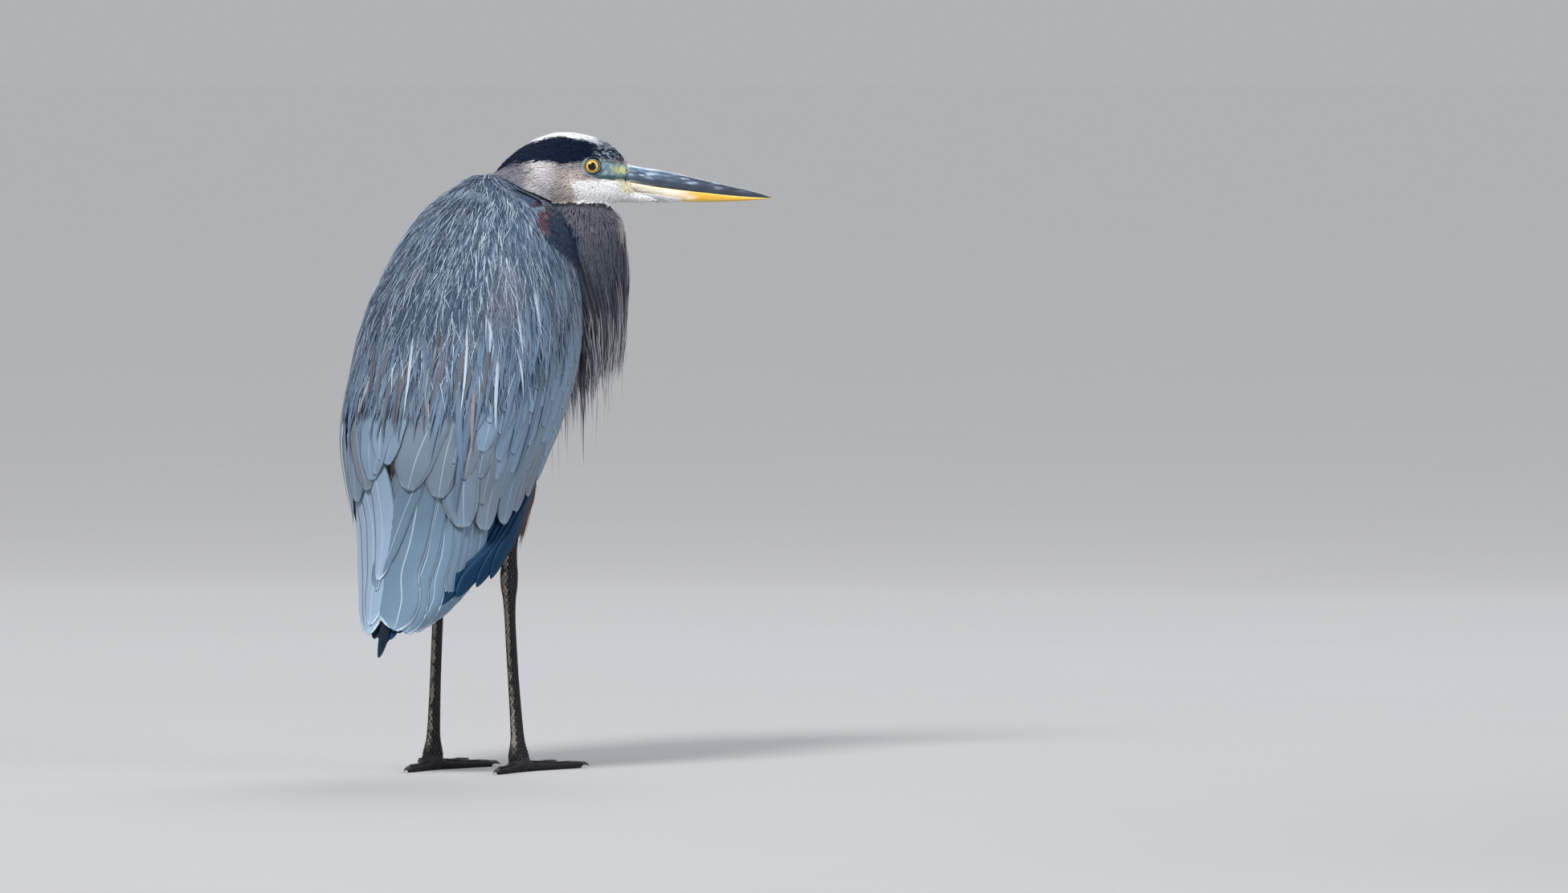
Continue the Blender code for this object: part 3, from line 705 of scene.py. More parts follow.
def remeshed(names, voxel, rounds, shell=None):
    """One closed surface round these solids, evened out."""
    points, faces, zones = node_arrays(names)
    if shell:
        more, quads, areas = shell
        faces += [tuple(i + len(points) for i in quad) for quad in quads]
        points += more
        zones = np.concatenate([zones, areas])
    mesh = bpy.data.meshes.new("guide")
    mesh.from_pydata(points, [], faces)
    helper = placed("guide", mesh)
    grain = helper.modifiers.new("grain", "REMESH")
    grain.mode, grain.voxel_size = "VOXEL", voxel
    even = helper.modifiers.new("even", "SMOOTH")
    even.factor, even.iterations = 0.5, rounds
    made = evaluated_mesh(helper)
    co = np.empty(len(made.vertices) * 3)
    made.vertices.foreach_get("co", co)
    normals = np.empty(len(made.vertices) * 3)
    made.vertices.foreach_get("normal", normals)
    quads = np.array([tuple(p.vertices) + (p.vertices[-1],) * (4 - len(p.vertices))
                      for p in made.polygons])
    nearest = BVHTree.FromPolygons(points, faces)
    bpy.data.meshes.remove(made)
    co = co.reshape(-1, 3)
    zone = np.array([zones[nearest.find_nearest(Vector(p))[2]] for p in co])
    return co, normals.reshape(-1, 3), quads, zone


def build_guide(settings):
    """The surface that every feather lies on, and its zones."""
    body = ["head", "neck_upper", "neck_lower", "thigh_left", "thigh_right"]
    legs = [name for name in FLESH if name.startswith(("leg", "foot"))]
    GUIDE["parts"] = {
        "body": remeshed(body, settings.skin_voxel, 6, body_shell()),
        "head": remeshed(["head"], HEAD_VOXEL, 3),
        "legs": remeshed(legs, LEG_VOXEL, 2),
    }
    points, _, quads, zone = GUIDE["parts"]["body"]
    GUIDE["points"], GUIDE["quads"], GUIDE["zone"] = points, quads, zone
    GUIDE["tree"] = BVHTree.FromPolygons(points.tolist(), quads.tolist())


def unwrap_place(points, zone):
    """Where points of the skin, in millimetres, lie on its unwrap: one tile for each form."""
    points = np.asarray(points, float)
    x, y, z = points.T
    head = to_head(points)
    line = neck_section(z)
    tiles = np.zeros((len(points), 4))
    turn = np.zeros(len(points))
    along = np.zeros(len(points))
    for name, tile in (
        ("back", (0.01, 0.6, 0.01, 0.98)), ("head", (0.63, 0.35, 0.56, 0.43)),
        ("neck", (0.63, 0.35, 0.29, 0.26)), ("thigh", (0.63, 0.35, 0.15, 0.12)),
        ("leg", (0.63, 0.35, 0.01, 0.12)),
    ):
        member = np.isin(zone, [i for i, z in enumerate(ZONES) if z == name or (
            name == "back" and z == "belly")])
        tiles[member] = tile
        if name == "back":
            value = np.radians(back_turn(points)), (z - 90) / 500
        elif name == "head":
            value = np.arctan2(head[:, 1], -head[:, 2] - 4), (head[:, 0] + 105) / 190
        elif name == "neck":
            value = np.arctan2(y - line[:, 1], x - line[:, 0]), (z - 315) / 245
        else:
            centre = np.where(y > 0, 44.0, -44.0)
            half = np.where(y > 0, 0.5, 0.0)
            value = (np.arctan2(y - centre, x) / 2 + (half * 2 - 0.5) * math.pi), z / 330
        turn[member], along[member] = value[0][member], value[1][member]
    u = tiles[:, 0] + tiles[:, 1] * (turn / (2 * math.pi) + 0.5)
    return np.stack([u, tiles[:, 2] + tiles[:, 3] * np.clip(along, 0, 1)], axis=1)


def mended_seams(uv_corners):
    """Corners of quads that straddle a tile's seam, carried past its edge."""
    low = uv_corners[..., 0].min(axis=1, keepdims=True)
    wide = (uv_corners[..., 0].max(axis=1, keepdims=True) - low) > 0.17
    tile = np.where(low < 0.62, 0.6, 0.35)
    shifted = np.where(wide & (uv_corners[..., 0] < low + tile / 2), tile, 0.0)
    uv_corners[..., 0] += shifted
    return np.clip(uv_corners, 0, 1)


def eye_lids(points):
    """Skin near the eyes, in head millimetres, drawn close round the eyeballs as lids."""
    for side in SIDES.values():
        centre = np.array([0.0, side * EYE_SPREAD, 0.0])
        away = points - centre
        reach = np.linalg.norm(away, axis=1)
        outward = away[:, 1] * side / np.maximum(reach, 1e-6)
        near = (reach < 13.0) & (outward > 0.2)
        snug = EYE_RADIUS + 0.35
        fade = np.clip((13.0 - reach) / 3.0, 0, 1)[:, None]
        target = centre + away / reach[:, None] * np.maximum(snug, reach - 2.0)[:, None]
        points = np.where(near[:, None], points + fade * (target - points), points)
    return points


def lid_rings():
    """Rolled rims round both eyes, in head millimetres."""
    around, tube = 40, 8
    turn, roll = np.meshgrid(circle(around), circle(tube), indexing="ij")
    radius = 7.05 + 0.55 * np.cos(turn) ** 4 + 0.85 * np.cos(roll)
    out = EYE_SPREAD + 5.45 + 0.75 * np.sin(roll)
    i, j = np.meshgrid(np.arange(around), np.arange(tube), indexing="ij")
    after = (i + 1) % around
    corners = (i, j), (after, j), (after, (j + 1) % tube), (i, (j + 1) % tube)
    quads = np.stack([a * tube + b for a, b in corners], axis=-1).reshape(-1, 4)
    parts = []
    for side in SIDES.values():
        rim = np.stack([radius * np.cos(turn), side * out, radius * 0.93 * np.sin(turn)], axis=-1)
        parts.append((rim.reshape(-1, 3), quads[:, :: -side]))
    return joined(parts)


def coat_depth(points, zone):
    """How far the skin lies under the coat's outside, in millimetres."""
    z = points[:, 2]
    neck = np.interp(z, [385, 445], [14, 3.5])
    neck = np.minimum(
        neck, np.interp(z, [385, 445], [0.72, 0.35]) * neck_section(z)[:, 2:4].min(axis=1)
    )
    back = np.interp(z, [300, 345, 420, 470, 560], [2.5, 10.0, 10.0, 5.0, 3.5])
    depths = [np.full(len(z), 1.6), neck, back, np.full(len(z), 2.5), np.full(len(z), 2.0), 0 * z]
    return np.choose(zone, depths)


def ankles(points):
    """The tarsus widened where the toes spring from it."""
    made = points.copy()
    for label in SIDES:
        away = points[:, :2] - foot_centre(label)[:2]
        reach = np.linalg.norm(away, axis=1)
        swell = (
            0.3 * ease(points[:, 2], 1, 9) * ease(-points[:, 2], -36, -12) * ease(-reach, -17, -11)
        )
        made[:, :2] += away * swell[:, None]
    return made


def build_skin(settings):
    build_guide(settings)
    parts, zones, shades = [], [], []
    for name, (co, normals, faces, zone) in GUIDE["parts"].items():
        depth = coat_depth(from_scene(co), zone) * MM
        if name == "body":
            depth = depth + np.where(zone == ZONES.index("head"), 0.003, 0.0)
        design = from_scene(co - normals * depth[:, None])
        blunt = (zone == ZONES.index("neck")) & (design[:, 2] < NECK_END)
        design[blunt, 2] = NECK_END + 0.25 * (design[blunt, 2] - NECK_END)
        if name == "legs":
            design = ankles(design)
        if name == "head":
            design = from_head(eye_lids(to_head(design)))
        bare = zone == ZONES.index("leg")
        # The skin under the feathers gets painted shade; the bare legs keep their own colour.
        shade = coat_colour(design, zone) * np.where(bare, 1.0, PAINTED_DOWN_SHADE)[:, None]
        parts.append((design, faces))
        zones.append(zone)
        shades.append(shade)
    rims, rim_quads = lid_rings()
    parts.append((from_head(rims), rim_quads))
    zones.append(zoned(rims, "head"))
    shades.append(np.broadcast_to(LID_GREY, rims.shape))
    points, quads = joined(parts)
    mesh = mesh_from_arrays("skin", to_scene(points), quads)
    add_colour(mesh, "tint", np.vstack(shades))
    uv = mended_seams(unwrap_place(points, np.concatenate(zones))[quads])
    whole = np.ones(quads.shape, bool)
    whole[:, 3] = quads[:, 2] != quads[:, 3]
    layer = mesh.uv_layers.new(name="OFBake")
    layer.data.foreach_set("uv", uv[whole].astype(np.float32).ravel())
    finish_piece(mesh, "skin", skin_finish(), FLESH)


# ---- feathers
PATCH = 0.003  # the size of a strand's own patch on the unwrap
TUFTS = {  # how many each part of the coat has, and the seed of its chances
    "head": (15500, 21), "chin": (1500, 22), "neck": (11500, 31), "breast": (1700, 41),
    "mantle_feathers_1": (3900, 51), "mantle_feathers_2": (3900, 52),
    "mantle_plumes_1": (2100, 53), "mantle_plumes_2": (2100, 54),
    "scapulars": (300, 61), "shoulders": (5200, 71),
    "belly": (4200, 81), "thighs": (3600, 82), "thigh plumes": (2600, 83),
}
COVERT_SEEDS, COVERT_TIP_SEED, TINT_SEED, SCALE_SEED = {1: 11, -1: 12}, 13, 5, 91


def tufts(settings, part):
    """How many tufts a part of the coat gets, and its source of chance."""
    full, seed = TUFTS[part]
    return max(50, int(full * settings.feather_density)), np.random.default_rng(seed)


def scattered(settings, part, zone_names, wanted):
    """Roots strewn over these zones of the guide, as thickly as wanted() says."""
    count, random = tufts(settings, part)
    points, quads, zone = GUIDE["points"], GUIDE["quads"], GUIDE["zone"]
    member = np.isin(zone, [ZONES.index(name) for name in zone_names])
    faces = quads[member[quads].all(axis=1)]
    a, b, c, d = (points[faces[:, i]] for i in range(4))
    area = np.linalg.norm(np.cross(c - a, d - b), axis=1)
    weight = area * np.clip(wanted(from_scene((a + c) / 2)), 0, None)
    weight /= weight.sum()
    picked = random.choice(len(faces), size=count, p=weight)
    s, t = random.random((2, count, 1))
    place = (
        (a[picked] * (1 - s) + b[picked] * s) * (1 - t) + (d[picked] * (1 - s) + c[picked] * s) * t
    )
    return from_scene(place), random


def laid(roots, aim, lengths, steps, twist, random):
    """Centre lines from these roots that follow the guide, in millimetres. twist spreads the
    strands' headings, in degrees."""
    tree = GUIDE["tree"]
    count = len(roots)
    angle = random.normal(0, math.radians(twist), count)
    place = roots.copy()
    line, normals = np.zeros((count, steps + 1, 3)), np.zeros((count, steps + 1, 3))
    heading = None
    for k in range(steps + 1):
        for i, p in enumerate(to_scene(place)):
            near, normal, _, _ = tree.find_nearest(Vector(p))
            place[i] = from_scene(np.array(near))
            normals[i, k] = normal
        line[:, k] = place
        n = normals[:, k]
        goal = aim(place)
        goal = unit(goal - (goal * n).sum(axis=1, keepdims=True) * n)
        side = np.cross(n, goal)
        goal = goal * np.cos(angle)[:, None] + side * np.sin(angle)[:, None]
        heading = goal if heading is None else unit(goal + 0.8 * heading)
        place = place + heading * (lengths / steps)[:, None]
    for _ in range(2):
        line[:, 1:-1] = (line[:, :-2] + 2 * line[:, 1:-1] + line[:, 2:]) / 4
        normals[:, 1:-1] = (normals[:, :-2] + 2 * normals[:, 1:-1] + normals[:, 2:]) / 4
    return line, unit(normals)


def downhill(points):
    return np.broadcast_to(np.array([0, 0, -1.0]), points.shape)


def swept_back(points):
    """Along the head towards the nape, then down."""
    x, _, z = to_head(points).T
    drop = np.where(x < -45, 0.25 + (-45 - x) / 60, 0.12 + 0.1 * (z < 0))
    return from_head(np.stack([-np.ones(len(x)), np.zeros(len(x)), -drop], axis=1)) - EYE_CENTRE


def ribbons(line, normals, widths, lifts, ridge):
    """Tapered strips of three points across, along centre lines; the last ring is a tip.
    widths and lifts, per ring or per strand and ring, are millimetres."""
    count, rings, _ = line.shape
    widths = np.broadcast_to(widths, (count, rings))
    lifts = np.broadcast_to(lifts, (count, rings))
    along = unit(np.gradient(line, axis=1))
    across = unit(np.cross(normals, along))
    centre = line + normals * lifts[..., None]
    half = across * widths[..., None] / 2
    crest = normals * (widths * ridge)[..., None]
    body = np.stack([centre - half, centre + crest, centre + half], axis=2)[:, :-1]
    points = np.concatenate([body.reshape(count, -1, 3), centre[:, -1:]], axis=1)
    last, tip = (rings - 2) * 3, (rings - 1) * 3
    ends = [[last, last + 1, tip, tip], [last + 1, last + 2, tip, tip]]
    faces = flipped(np.vstack([grid_faces(rings - 1, 3), ends]))
    u = np.tile([0.0, 0.5, 1.0], rings - 1)
    v = np.repeat(np.linspace(0, 1, rings)[:-1], 3)
    vane = np.stack([np.append(u, 0.5), np.append(v, 1.0)], axis=1)
    return points.reshape(-1, 3), repeated(faces, points), vane


def feather_piece(name, parts, finish, replaced=()):
    """One coat piece from several sets of strands: (points, faces, vane, roots, zones, colours).
    colours are per strand and point, or per strand."""
    all_vane, all_bake, all_tint = [], [], []
    for _, _, vane, roots, zone, colour in parts:
        count, per = len(roots), len(vane)
        colour = np.asarray(colour, float)
        if colour.ndim == 2:
            colour = np.repeat(colour[:, None, :], per, axis=1)
        bake = unwrap_place(roots, zoned(roots, zone))[:, None, :] + (vane[None] - 0.5) * PATCH
        all_vane.append(np.tile(vane, (count, 1)))
        all_bake.append(np.clip(bake.reshape(-1, 2), 0, 1))
        all_tint.append(colour.reshape(-1, 3))
    points, faces = joined([part[:2] for part in parts])
    mesh = mesh_from_arrays(name, to_scene(points), faces)
    add_colour(mesh, "tint", np.clip(np.vstack(all_tint), 0, 1))
    add_uv(mesh, "OFBake", np.vstack(all_bake))
    add_uv(mesh, "vane", np.vstack(all_vane), active=True)
    finish_piece(mesh, name, finish, replaced)


def shaded(base, vane, painted_root_shade, tip_light, jitter=None, painted_edge_shade=1.0):
    """A colour per strand and point: darker at the root and edges as painted shade, lighter towards
    the tip.
    """
    u, v = vane.T
    shade = np.interp(v, [0, 0.45, 1], [painted_root_shade, 1.0, tip_light])
    shade = shade * np.where(np.abs(u - 0.5) > 0.3, painted_edge_shade, 1.0)
    colour = base[:, None, :] * shade[None, :, None]
    if jitter is not None:
        colour = colour * jitter[:, None, None]
    return colour


# ---- finishes
def feather_finish(
    name, roughness, barbs, barb_count, bump=0.35, fleck=0.12, sheen=0.09, gloss=0.22
):
    """Plumage: the strand's tint and fine slanting barbs, over soft noise."""
    shine = {"Sheen_Weight": sheen, "Sheen_Roughness": 0.4, "Specular_IOR_Level": gloss}
    f = Finish(name, roughness, **shine)
    u, v, _ = f.split(f.attribute("vane", output=1))
    slant = (u - 0.5).size()
    barb = ((v * barb_count + slant * 9.0) * (2 * math.pi)).wave()
    grain = f.noise(f.place(), 900.0, 2.0)
    cloud = f.noise(f.place(), 60.0, 3.0)
    shade = (
        1.0 - barbs * 0.5 + barb * (barbs * 0.5) + (cloud - 0.5) * (fleck * 2)
        + (grain - 0.5) * 0.25
    )
    f.set("Base Color", f.stained(shade))
    f.set("Roughness", (cloud - 0.5) * 0.2 + roughness)
    f.bump(barb * 0.5 + grain, bump, 0.0003)
    return f.material


def skin_finish():
    """Down and skin: the plumage's own markings under a painted shade, stippled with follicles."""
    f = Finish("skin", 0.75, Specular_IOR_Level=0.3)
    pits = f.node("ShaderNodeTexVoronoi", {"feature": "F1"}, {"Vector": f.place(), "Scale": 700.0})
    cloud = f.noise(f.place(), 220.0, 4.0)
    shade = 0.85 + pits * 0.3 + (cloud - 0.5) * 0.35
    f.set("Base Color", f.stained(shade))
    f.bump(pits + cloud * 0.5, 0.3, 0.0004)
    return f.material


# ---- broad vanes of the wing
VANE_THICKNESS = 0.3


def vane_set(side, turn, height, width, deep, lift, taper, shaft, roundness=2.0):
    """Broad closed vanes laid on the folded wing. turn and height, in degrees and
    millimetres, and deep, counted into the body, are given per feather and ring; taper is
    the tip's length over the feather's width."""
    count, rings = turn.shape
    here = cloak_point(np.radians(turn), height, deep)
    pace = np.linalg.norm(np.diff(here, axis=1), axis=2)
    run = np.hstack([np.zeros((count, 1)), np.cumsum(pace, axis=1)])
    total = run[:, -1:]
    left = total - run
    tip = 1 - np.clip(left / (np.reshape(taper, (-1, 1)) * width[:, None]), 0, 1)
    outline = np.minimum(1.0, 0.5 + 1.5 * run / total) * (1 - tip**roundness) ** (1 / roundness)
    v = run / total
    lift = np.broadcast_to(lift, (count,))[:, None]
    turn = np.radians(turn)
    step = 0.01
    slope_t = (cloak_point(turn + step, height, deep) - here) / step
    slope_z = cloak_point(turn, height + 1.0, deep) - here
    along = unit(np.gradient(here, axis=1))
    normal = unit(np.cross(slope_z, slope_t))
    across = np.cross(normal, along)
    tt, zz = (slope_t**2).sum(-1), (slope_z**2).sum(-1)
    tz = (slope_t * slope_z).sum(-1)
    at, az = (across * slope_t).sum(-1), (across * slope_z).sum(-1)
    det = tt * zz - tz**2
    d_turn, d_height = (at * zz - az * tz) / det, (az * tt - at * tz) / det
    flip = np.sign(d_turn.mean())
    d_turn, d_height = d_turn * flip, d_height * flip
    places = np.array([-1.0, -0.7, -0.35, 0.0, 0.35, 0.7, 1.0])
    wide = len(places)
    reach = np.where(places < 0, places * (1 - shaft) * 2, places * shaft * 2)
    offset = (width[:, None] * outline / 2)[..., None] * reach
    arch = 0.35 * (1 - places**2)
    level = deep[..., None] - lift[..., None] * places * outline[..., None] - arch
    t = side * (turn[..., None] + offset * d_turn[..., None])
    h = height[..., None] + offset * d_height[..., None]
    top = cloak_point(t, h, level)
    under = cloak_point(t[..., 1:-1], h[..., 1:-1], level[..., 1:-1] + VANE_THICKNESS)
    body = top[:, :-1].reshape(count, -1, 3)
    below = under[:, 1:-1].reshape(count, -1, 3)
    points = np.concatenate([body, top[:, -1, wide // 2][:, None], below], axis=1)
    rim = (rings - 1) * wide
    index = np.arange(rim).reshape(rings - 1, wide)
    index = np.vstack([index, np.full(wide, rim)])
    lower = index.copy()
    lower[1:-1, 1:-1] = rim + 1 + np.arange((rings - 2) * (wide - 2)).reshape(rings - 2, wide - 2)
    sheets = []
    for grid, turned in ((index, side < 0), (lower, side > 0)):
        a, b, c, d = grid[:-1, :-1], grid[:-1, 1:], grid[1:, 1:], grid[1:, :-1]
        quads = (a, b, c, d) if turned else (b, a, d, c)
        sheets.append(np.stack(quads, axis=-1).reshape(-1, 4))
    faces = flipped(np.vstack(sheets))
    u, share = (places + 1) / 2, v.mean(axis=0)
    vane = [(a, b) for b in share[:-1] for a in u] + [(0.5, 1.0)]
    vane += [(a, b) for b in share[1:-1] for a in u[1:-1]]
    roots = here[:, 0] * np.array([1, side, 1])
    return points.reshape(-1, 3), repeated(faces, points), np.array(vane), roots


def tinted_rows(colours, vane, count):
    """Colours for broad vanes: each feather its own, darker at the root as painted shade, pale at
    the rim.
    """
    random = np.random.default_rng(TINT_SEED)
    base = np.asarray(colours) * random.normal(1.0, 0.06, (count, 1))
    u, v = vane.T
    # Painted shade: darker at the root, where the feathers above cover it.
    shade = np.interp(v, [0, 0.5, 1], [0.75, 1.0, 1.08])
    rim = np.clip(np.maximum(ease(u, 0.9, 1.0) * 0.9, ease(v, 0.93, 1.0)), 0, 1)
    shade = shade * (1 + 0.35 * rim)
    return base[:, None, :] * shade[None, :, None]


def vane_finish(name, rim, roughness, rim_share, streak=0.12, gloss=0.35, rim_start=0.955):
    """Broad feathers: slanting barbs, a pale shaft, and a pale front rim and tip."""
    shine = {"Sheen_Weight": gloss * 0.2, "Sheen_Roughness": 0.45, "Specular_IOR_Level": gloss}
    f = Finish(name, roughness, **shine)
    u, v, _ = f.split(f.attribute("vane", output=1))
    slant = (u - 0.5).size()
    barb = ((v * 60.0 + slant * 34.0) * (2 * math.pi)).wave()
    grain = f.noise(f.stretch((1400.0, 1400.0, 160.0)), 1.0, 2.0)
    cloud = f.noise(f.place(), 34.0, 4.0)
    shade = 0.93 + barb * 0.035 + (cloud - 0.5) * (streak * 2) + (grain - 0.5) * 0.22
    colour = f.stained(shade)
    front = u.ramp(rim_start, 0.99)
    end = ((v - 0.86) / 0.14).clip()
    curve = (end * end * 0.25 + slant).ramp(0.44, 0.5) * v.ramp(0.5, 0.8)
    shaft = 1.0 - slant.ramp(0.006, 0.02)
    lines = ((front + curve).clip() * rim_share + shaft * 0.45).clip() * (0.7 + grain * 0.5)
    colour = f.mix(lines.clip(), colour, rim)
    f.set("Base Color", colour)
    f.set("Roughness", (cloud - 0.5) * 0.15 + roughness)
    f.bump(barb * 0.25 + grain * 0.6 + shaft * 1.2, 0.4, 0.0003)
    return f.material


WING_HEM = single_curve([
    (0.0, 282), (0.15, 278), (0.3, 272), (0.42, 246), (0.5, 238), (0.65, 245), (0.8, 256),
    (0.92, 272), (1.0, 292),
])
COVERT_RINGS, FLIGHT_RINGS = 10, 22  # rows of points along each feather
PLACED_COVERTS = 10  # the broad ones, which come first in covert_rows


def covert_rows(side):
    """Overlapping rows of coverts, from the lowest up; front ones lie under those behind."""
    random = np.random.default_rng(COVERT_SEEDS[side])
    rows = []
    for turn_a, z_a, turn_b, z_b, size in (
        (114, 330, 117, 284, 16), (104, 330, 108, 268, 18), (95, 328, 97, 254, 20),
        (86, 326, 87, 242, 23), (72, 330, 71, 236, 24), (48, 338, 56, 239, 36),
        (33, 372, 17, 275, 44) if side < 0 else (26, 345, 17, 274, 30),
        (22, 350, 34, 262, 34) if side > 0 else (40, 348, 38, 268, 34),
        (10, 372, 2, 300, 30) if side < 0 else (12, 366, 12, 284, 30),
        (6, 360, -9, 290, 24) if side < 0 else (4, 372, 3, 304, 26),
    ):
        rows.append((turn_a, z_a, turn_b, z_b, size, 1.5, 0.5, 0.7, 0.0))
    for tier, (rise, length, width, count) in enumerate(
        (
            (26, 84, 22, 11), (46, 78, 19, 12), (68, 68, 18, 13), (90, 60, 17, 14),
            (112, 52, 15, 17), (132, 48, 14, 18), (152, 46, 13, 19), (172, 43, 12, 20),
            (192, 40, 11, 21), (212, 38, 10.5, 21), (230, 36, 10, 22), (248, 33, 9, 22),
            (266, 24, 8, 22), (282, 20, 7, 20)
        )
    ):
        for k in range(count):
            share = (
                1 - ((k + 0.5 + random.uniform(-0.2, 0.2)) / count) ** (1.3 if tier < 5 else 1.0)
            )
            if share < (0.3, 0.42, 0.3)[tier] if tier < 3 else False:
                continue  # the broad feathers beside the spine show here
            tip_z = WING_HEM(share) + rise + random.uniform(-4, 4)
            front = leading_edge(tip_z) - 3
            first = 7.0 if tip_z > 250 else 12.0
            tip_turn = first + share * (front - first)
            root_z = min(tip_z + length, 548)
            lean = -6 + 10 * share
            root_turn = np.clip(tip_turn + lean * length / 90, 3, leading_edge(root_z) - 2)
            size = width * (1.35 if tier < 4 and share < 0.5 else 1.0)
            level = -0.35 * tier * 0.35
            rows.append((root_turn, root_z, tip_turn, tip_z, size, 2.3 + level,
                         0.3 + level + share * 0.8, 0.55, random.uniform(-1, 1)))
    return rows


def tip_spaced(count, power=1.7):
    """Shares from 0 to 1 that crowd towards 1, where a feather's tip turns."""
    return 1 - (1 - np.linspace(0, 1, count)) ** power


def covert_paths(rows):
    """Straight paths of the coverts from their roots to their tips."""
    rows = np.array(rows, float)
    turn_a, z_a, turn_b, z_b, width, deep_a, deep_b, lift, bow = rows.T[:, :, None]
    v = tip_spaced(COVERT_RINGS, 1.5)[None, :]
    turn = turn_a + (turn_b - turn_a) * v + bow * np.sin(math.pi * v)
    height = z_a + (z_b - z_a) * v
    return turn, height, width[:, 0], deep_a + (deep_b - deep_a) * v**0.7, lift[:, 0]


# Each flight feather: its front edge as (height, turn) pairs, tip turn, tip height, width,
# tip taper, depth at the root and at the tip.
RIGHT_SECONDARIES = [
    ([(330, 78), (235, 76), (200, 76), (178, 79), (164, 82)], 81, 162, 20, 1.2, 6.6, 5.9),
    ([(330, 72), (235, 69), (194, 69), (174, 74), (155, 84)], 84, 154, 22, 1.1, 6.1, 5.4),
    ([(330, 68), (242, 63), (211, 62), (177, 68), (146, 90)], 87, 144, 24, 0.8, 5.5, 4.8),
    (
        [(330, 62), (235, 57), (218, 56), (183, 60), (154, 75), (141, 84)], 79, 140, 26, 0.75, 4.9,
        4.2
    ),
    (
        [(330, 57), (245, 50), (207, 50), (174, 55), (146, 70), (138, 74)], 67, 137, 28, 0.7, 4.3,
        3.6
    ),
    (
        [(330, 51), (252, 44), (225, 41), (186, 39), (154, 47), (136, 60)], 54, 136, 31, 0.7, 3.7,
        3.0
    ),
    (
        [(330, 46), (267, 37), (232, 33), (201, 29), (183, 32), (150, 42), (138, 45)], 31, 139, 54,
        0.55, 3.1, 2.4
    ),
    (
        [(330, 36), (277, 27), (252, 19), (223, 10), (207, 6), (190, -1), (178, -6)], -10, 176, 26,
        2.8, 2.5, 1.7
    )
]
LEFT_SECONDARIES = (
    RIGHT_SECONDARIES[:4]
    + [
        ([(330, 57), (245, 51), (207, 50), (174, 52), (140, 62)], 56, 136, 28, 0.8, 4.3, 3.6),
        (
            [(330, 46), (267, 39), (232, 35), (190, 33), (150, 36), (132, 38)], 28, 134, 34, 1.1,
            3.7, 3.0
        ),
        (
            [(330, 36), (267, 28), (232, 25), (190, 24), (150, 27), (140, 27)], 22, 143, 30, 1.3,
            3.1, 2.4
        ), ([(330, 20), (274, 15), (232, 14), (200, 13), (187, 12)], 9, 186, 28, 1.9, 2.5, 1.4)
    ]
)
RIGHT_PRIMARIES = [
    (
        [
            (320, 139), (278, 128), (260, 120), (248, 114), (237, 109), (225, 104), (216, 99),
            (205, 96.5), (192, 95)
        ], 93, 187, 18, 2.0, 3.4, 0.0
    ),
    (
        [(320, 135), (282, 124), (260, 115), (237, 104), (216, 95), (200, 91), (185, 88)], 85.5,
        179, 18, 2.0, 4.2, 1.0
    ),
    (
        [(320, 131), (282, 119), (260, 110), (235, 100), (205, 88), (180, 79)], 75, 170, 19, 1.8,
        5.0, 2.2
    ), ([(320, 126), (282, 112), (235, 96), (197, 83), (170, 72)], 66, 162, 20, 1.6, 6.2, 4.0),
    ([(320, 120), (282, 106), (235, 92), (197, 79), (158, 64)], 57, 153, 21, 1.5, 7.2, 6.0),
    ([(320, 112), (282, 98), (235, 88), (190, 74), (145, 58)], 50, 142, 22, 1.0, 8.2, 7.4),
    ([(320, 102), (282, 88), (235, 76), (190, 62), (138, 46)], 38, 137, 22, 0.9, 8.6, 7.8),
    ([(320, 90), (282, 74), (235, 62), (190, 48), (132, 32)], 24, 131, 23, 0.9, 9.0, 8.2),
    ([(320, 76), (282, 58), (235, 46), (190, 32), (130, 18)], 12, 127, 23, 0.9, 9.4, 8.6)
]
LEFT_PRIMARIES = RIGHT_PRIMARIES[:8] + [
    ([(320, 70), (282, 50), (235, 34), (190, 18), (130, 3)], -4, 113, 14, 3.4, 7.4, 5.6),
]


def flight_paths(feathers, shaft, lift):
    """Paths of the shafts, set back from each feather's front edge."""
    turns, heights, deeps = [], [], []
    for front, tip_turn, tip_height, width, _, deep_root, deep_tip in feathers:
        share = tip_spaced(FLIGHT_RINGS)
        z = front[0][0] + (tip_height + 3.5 - front[0][0]) * share
        edge = single_curve(front)(z)
        near = cloak_point(np.radians(edge), z, 3.0)
        pace = np.linalg.norm(near - cloak_point(np.radians(edge - 1), z, 3.0), axis=1)
        centre = edge - width * shaft / np.maximum(pace, 0.5)
        turns.append(centre + (tip_turn - centre) * ease(share, 0.72, 1.0))
        heights.append(z)
        deeps.append(deep_root + (deep_tip - deep_root) * share)
    width = np.array([row[3] for row in feathers], float)
    return np.array(turns), np.array(heights), width, np.array(deeps), lift


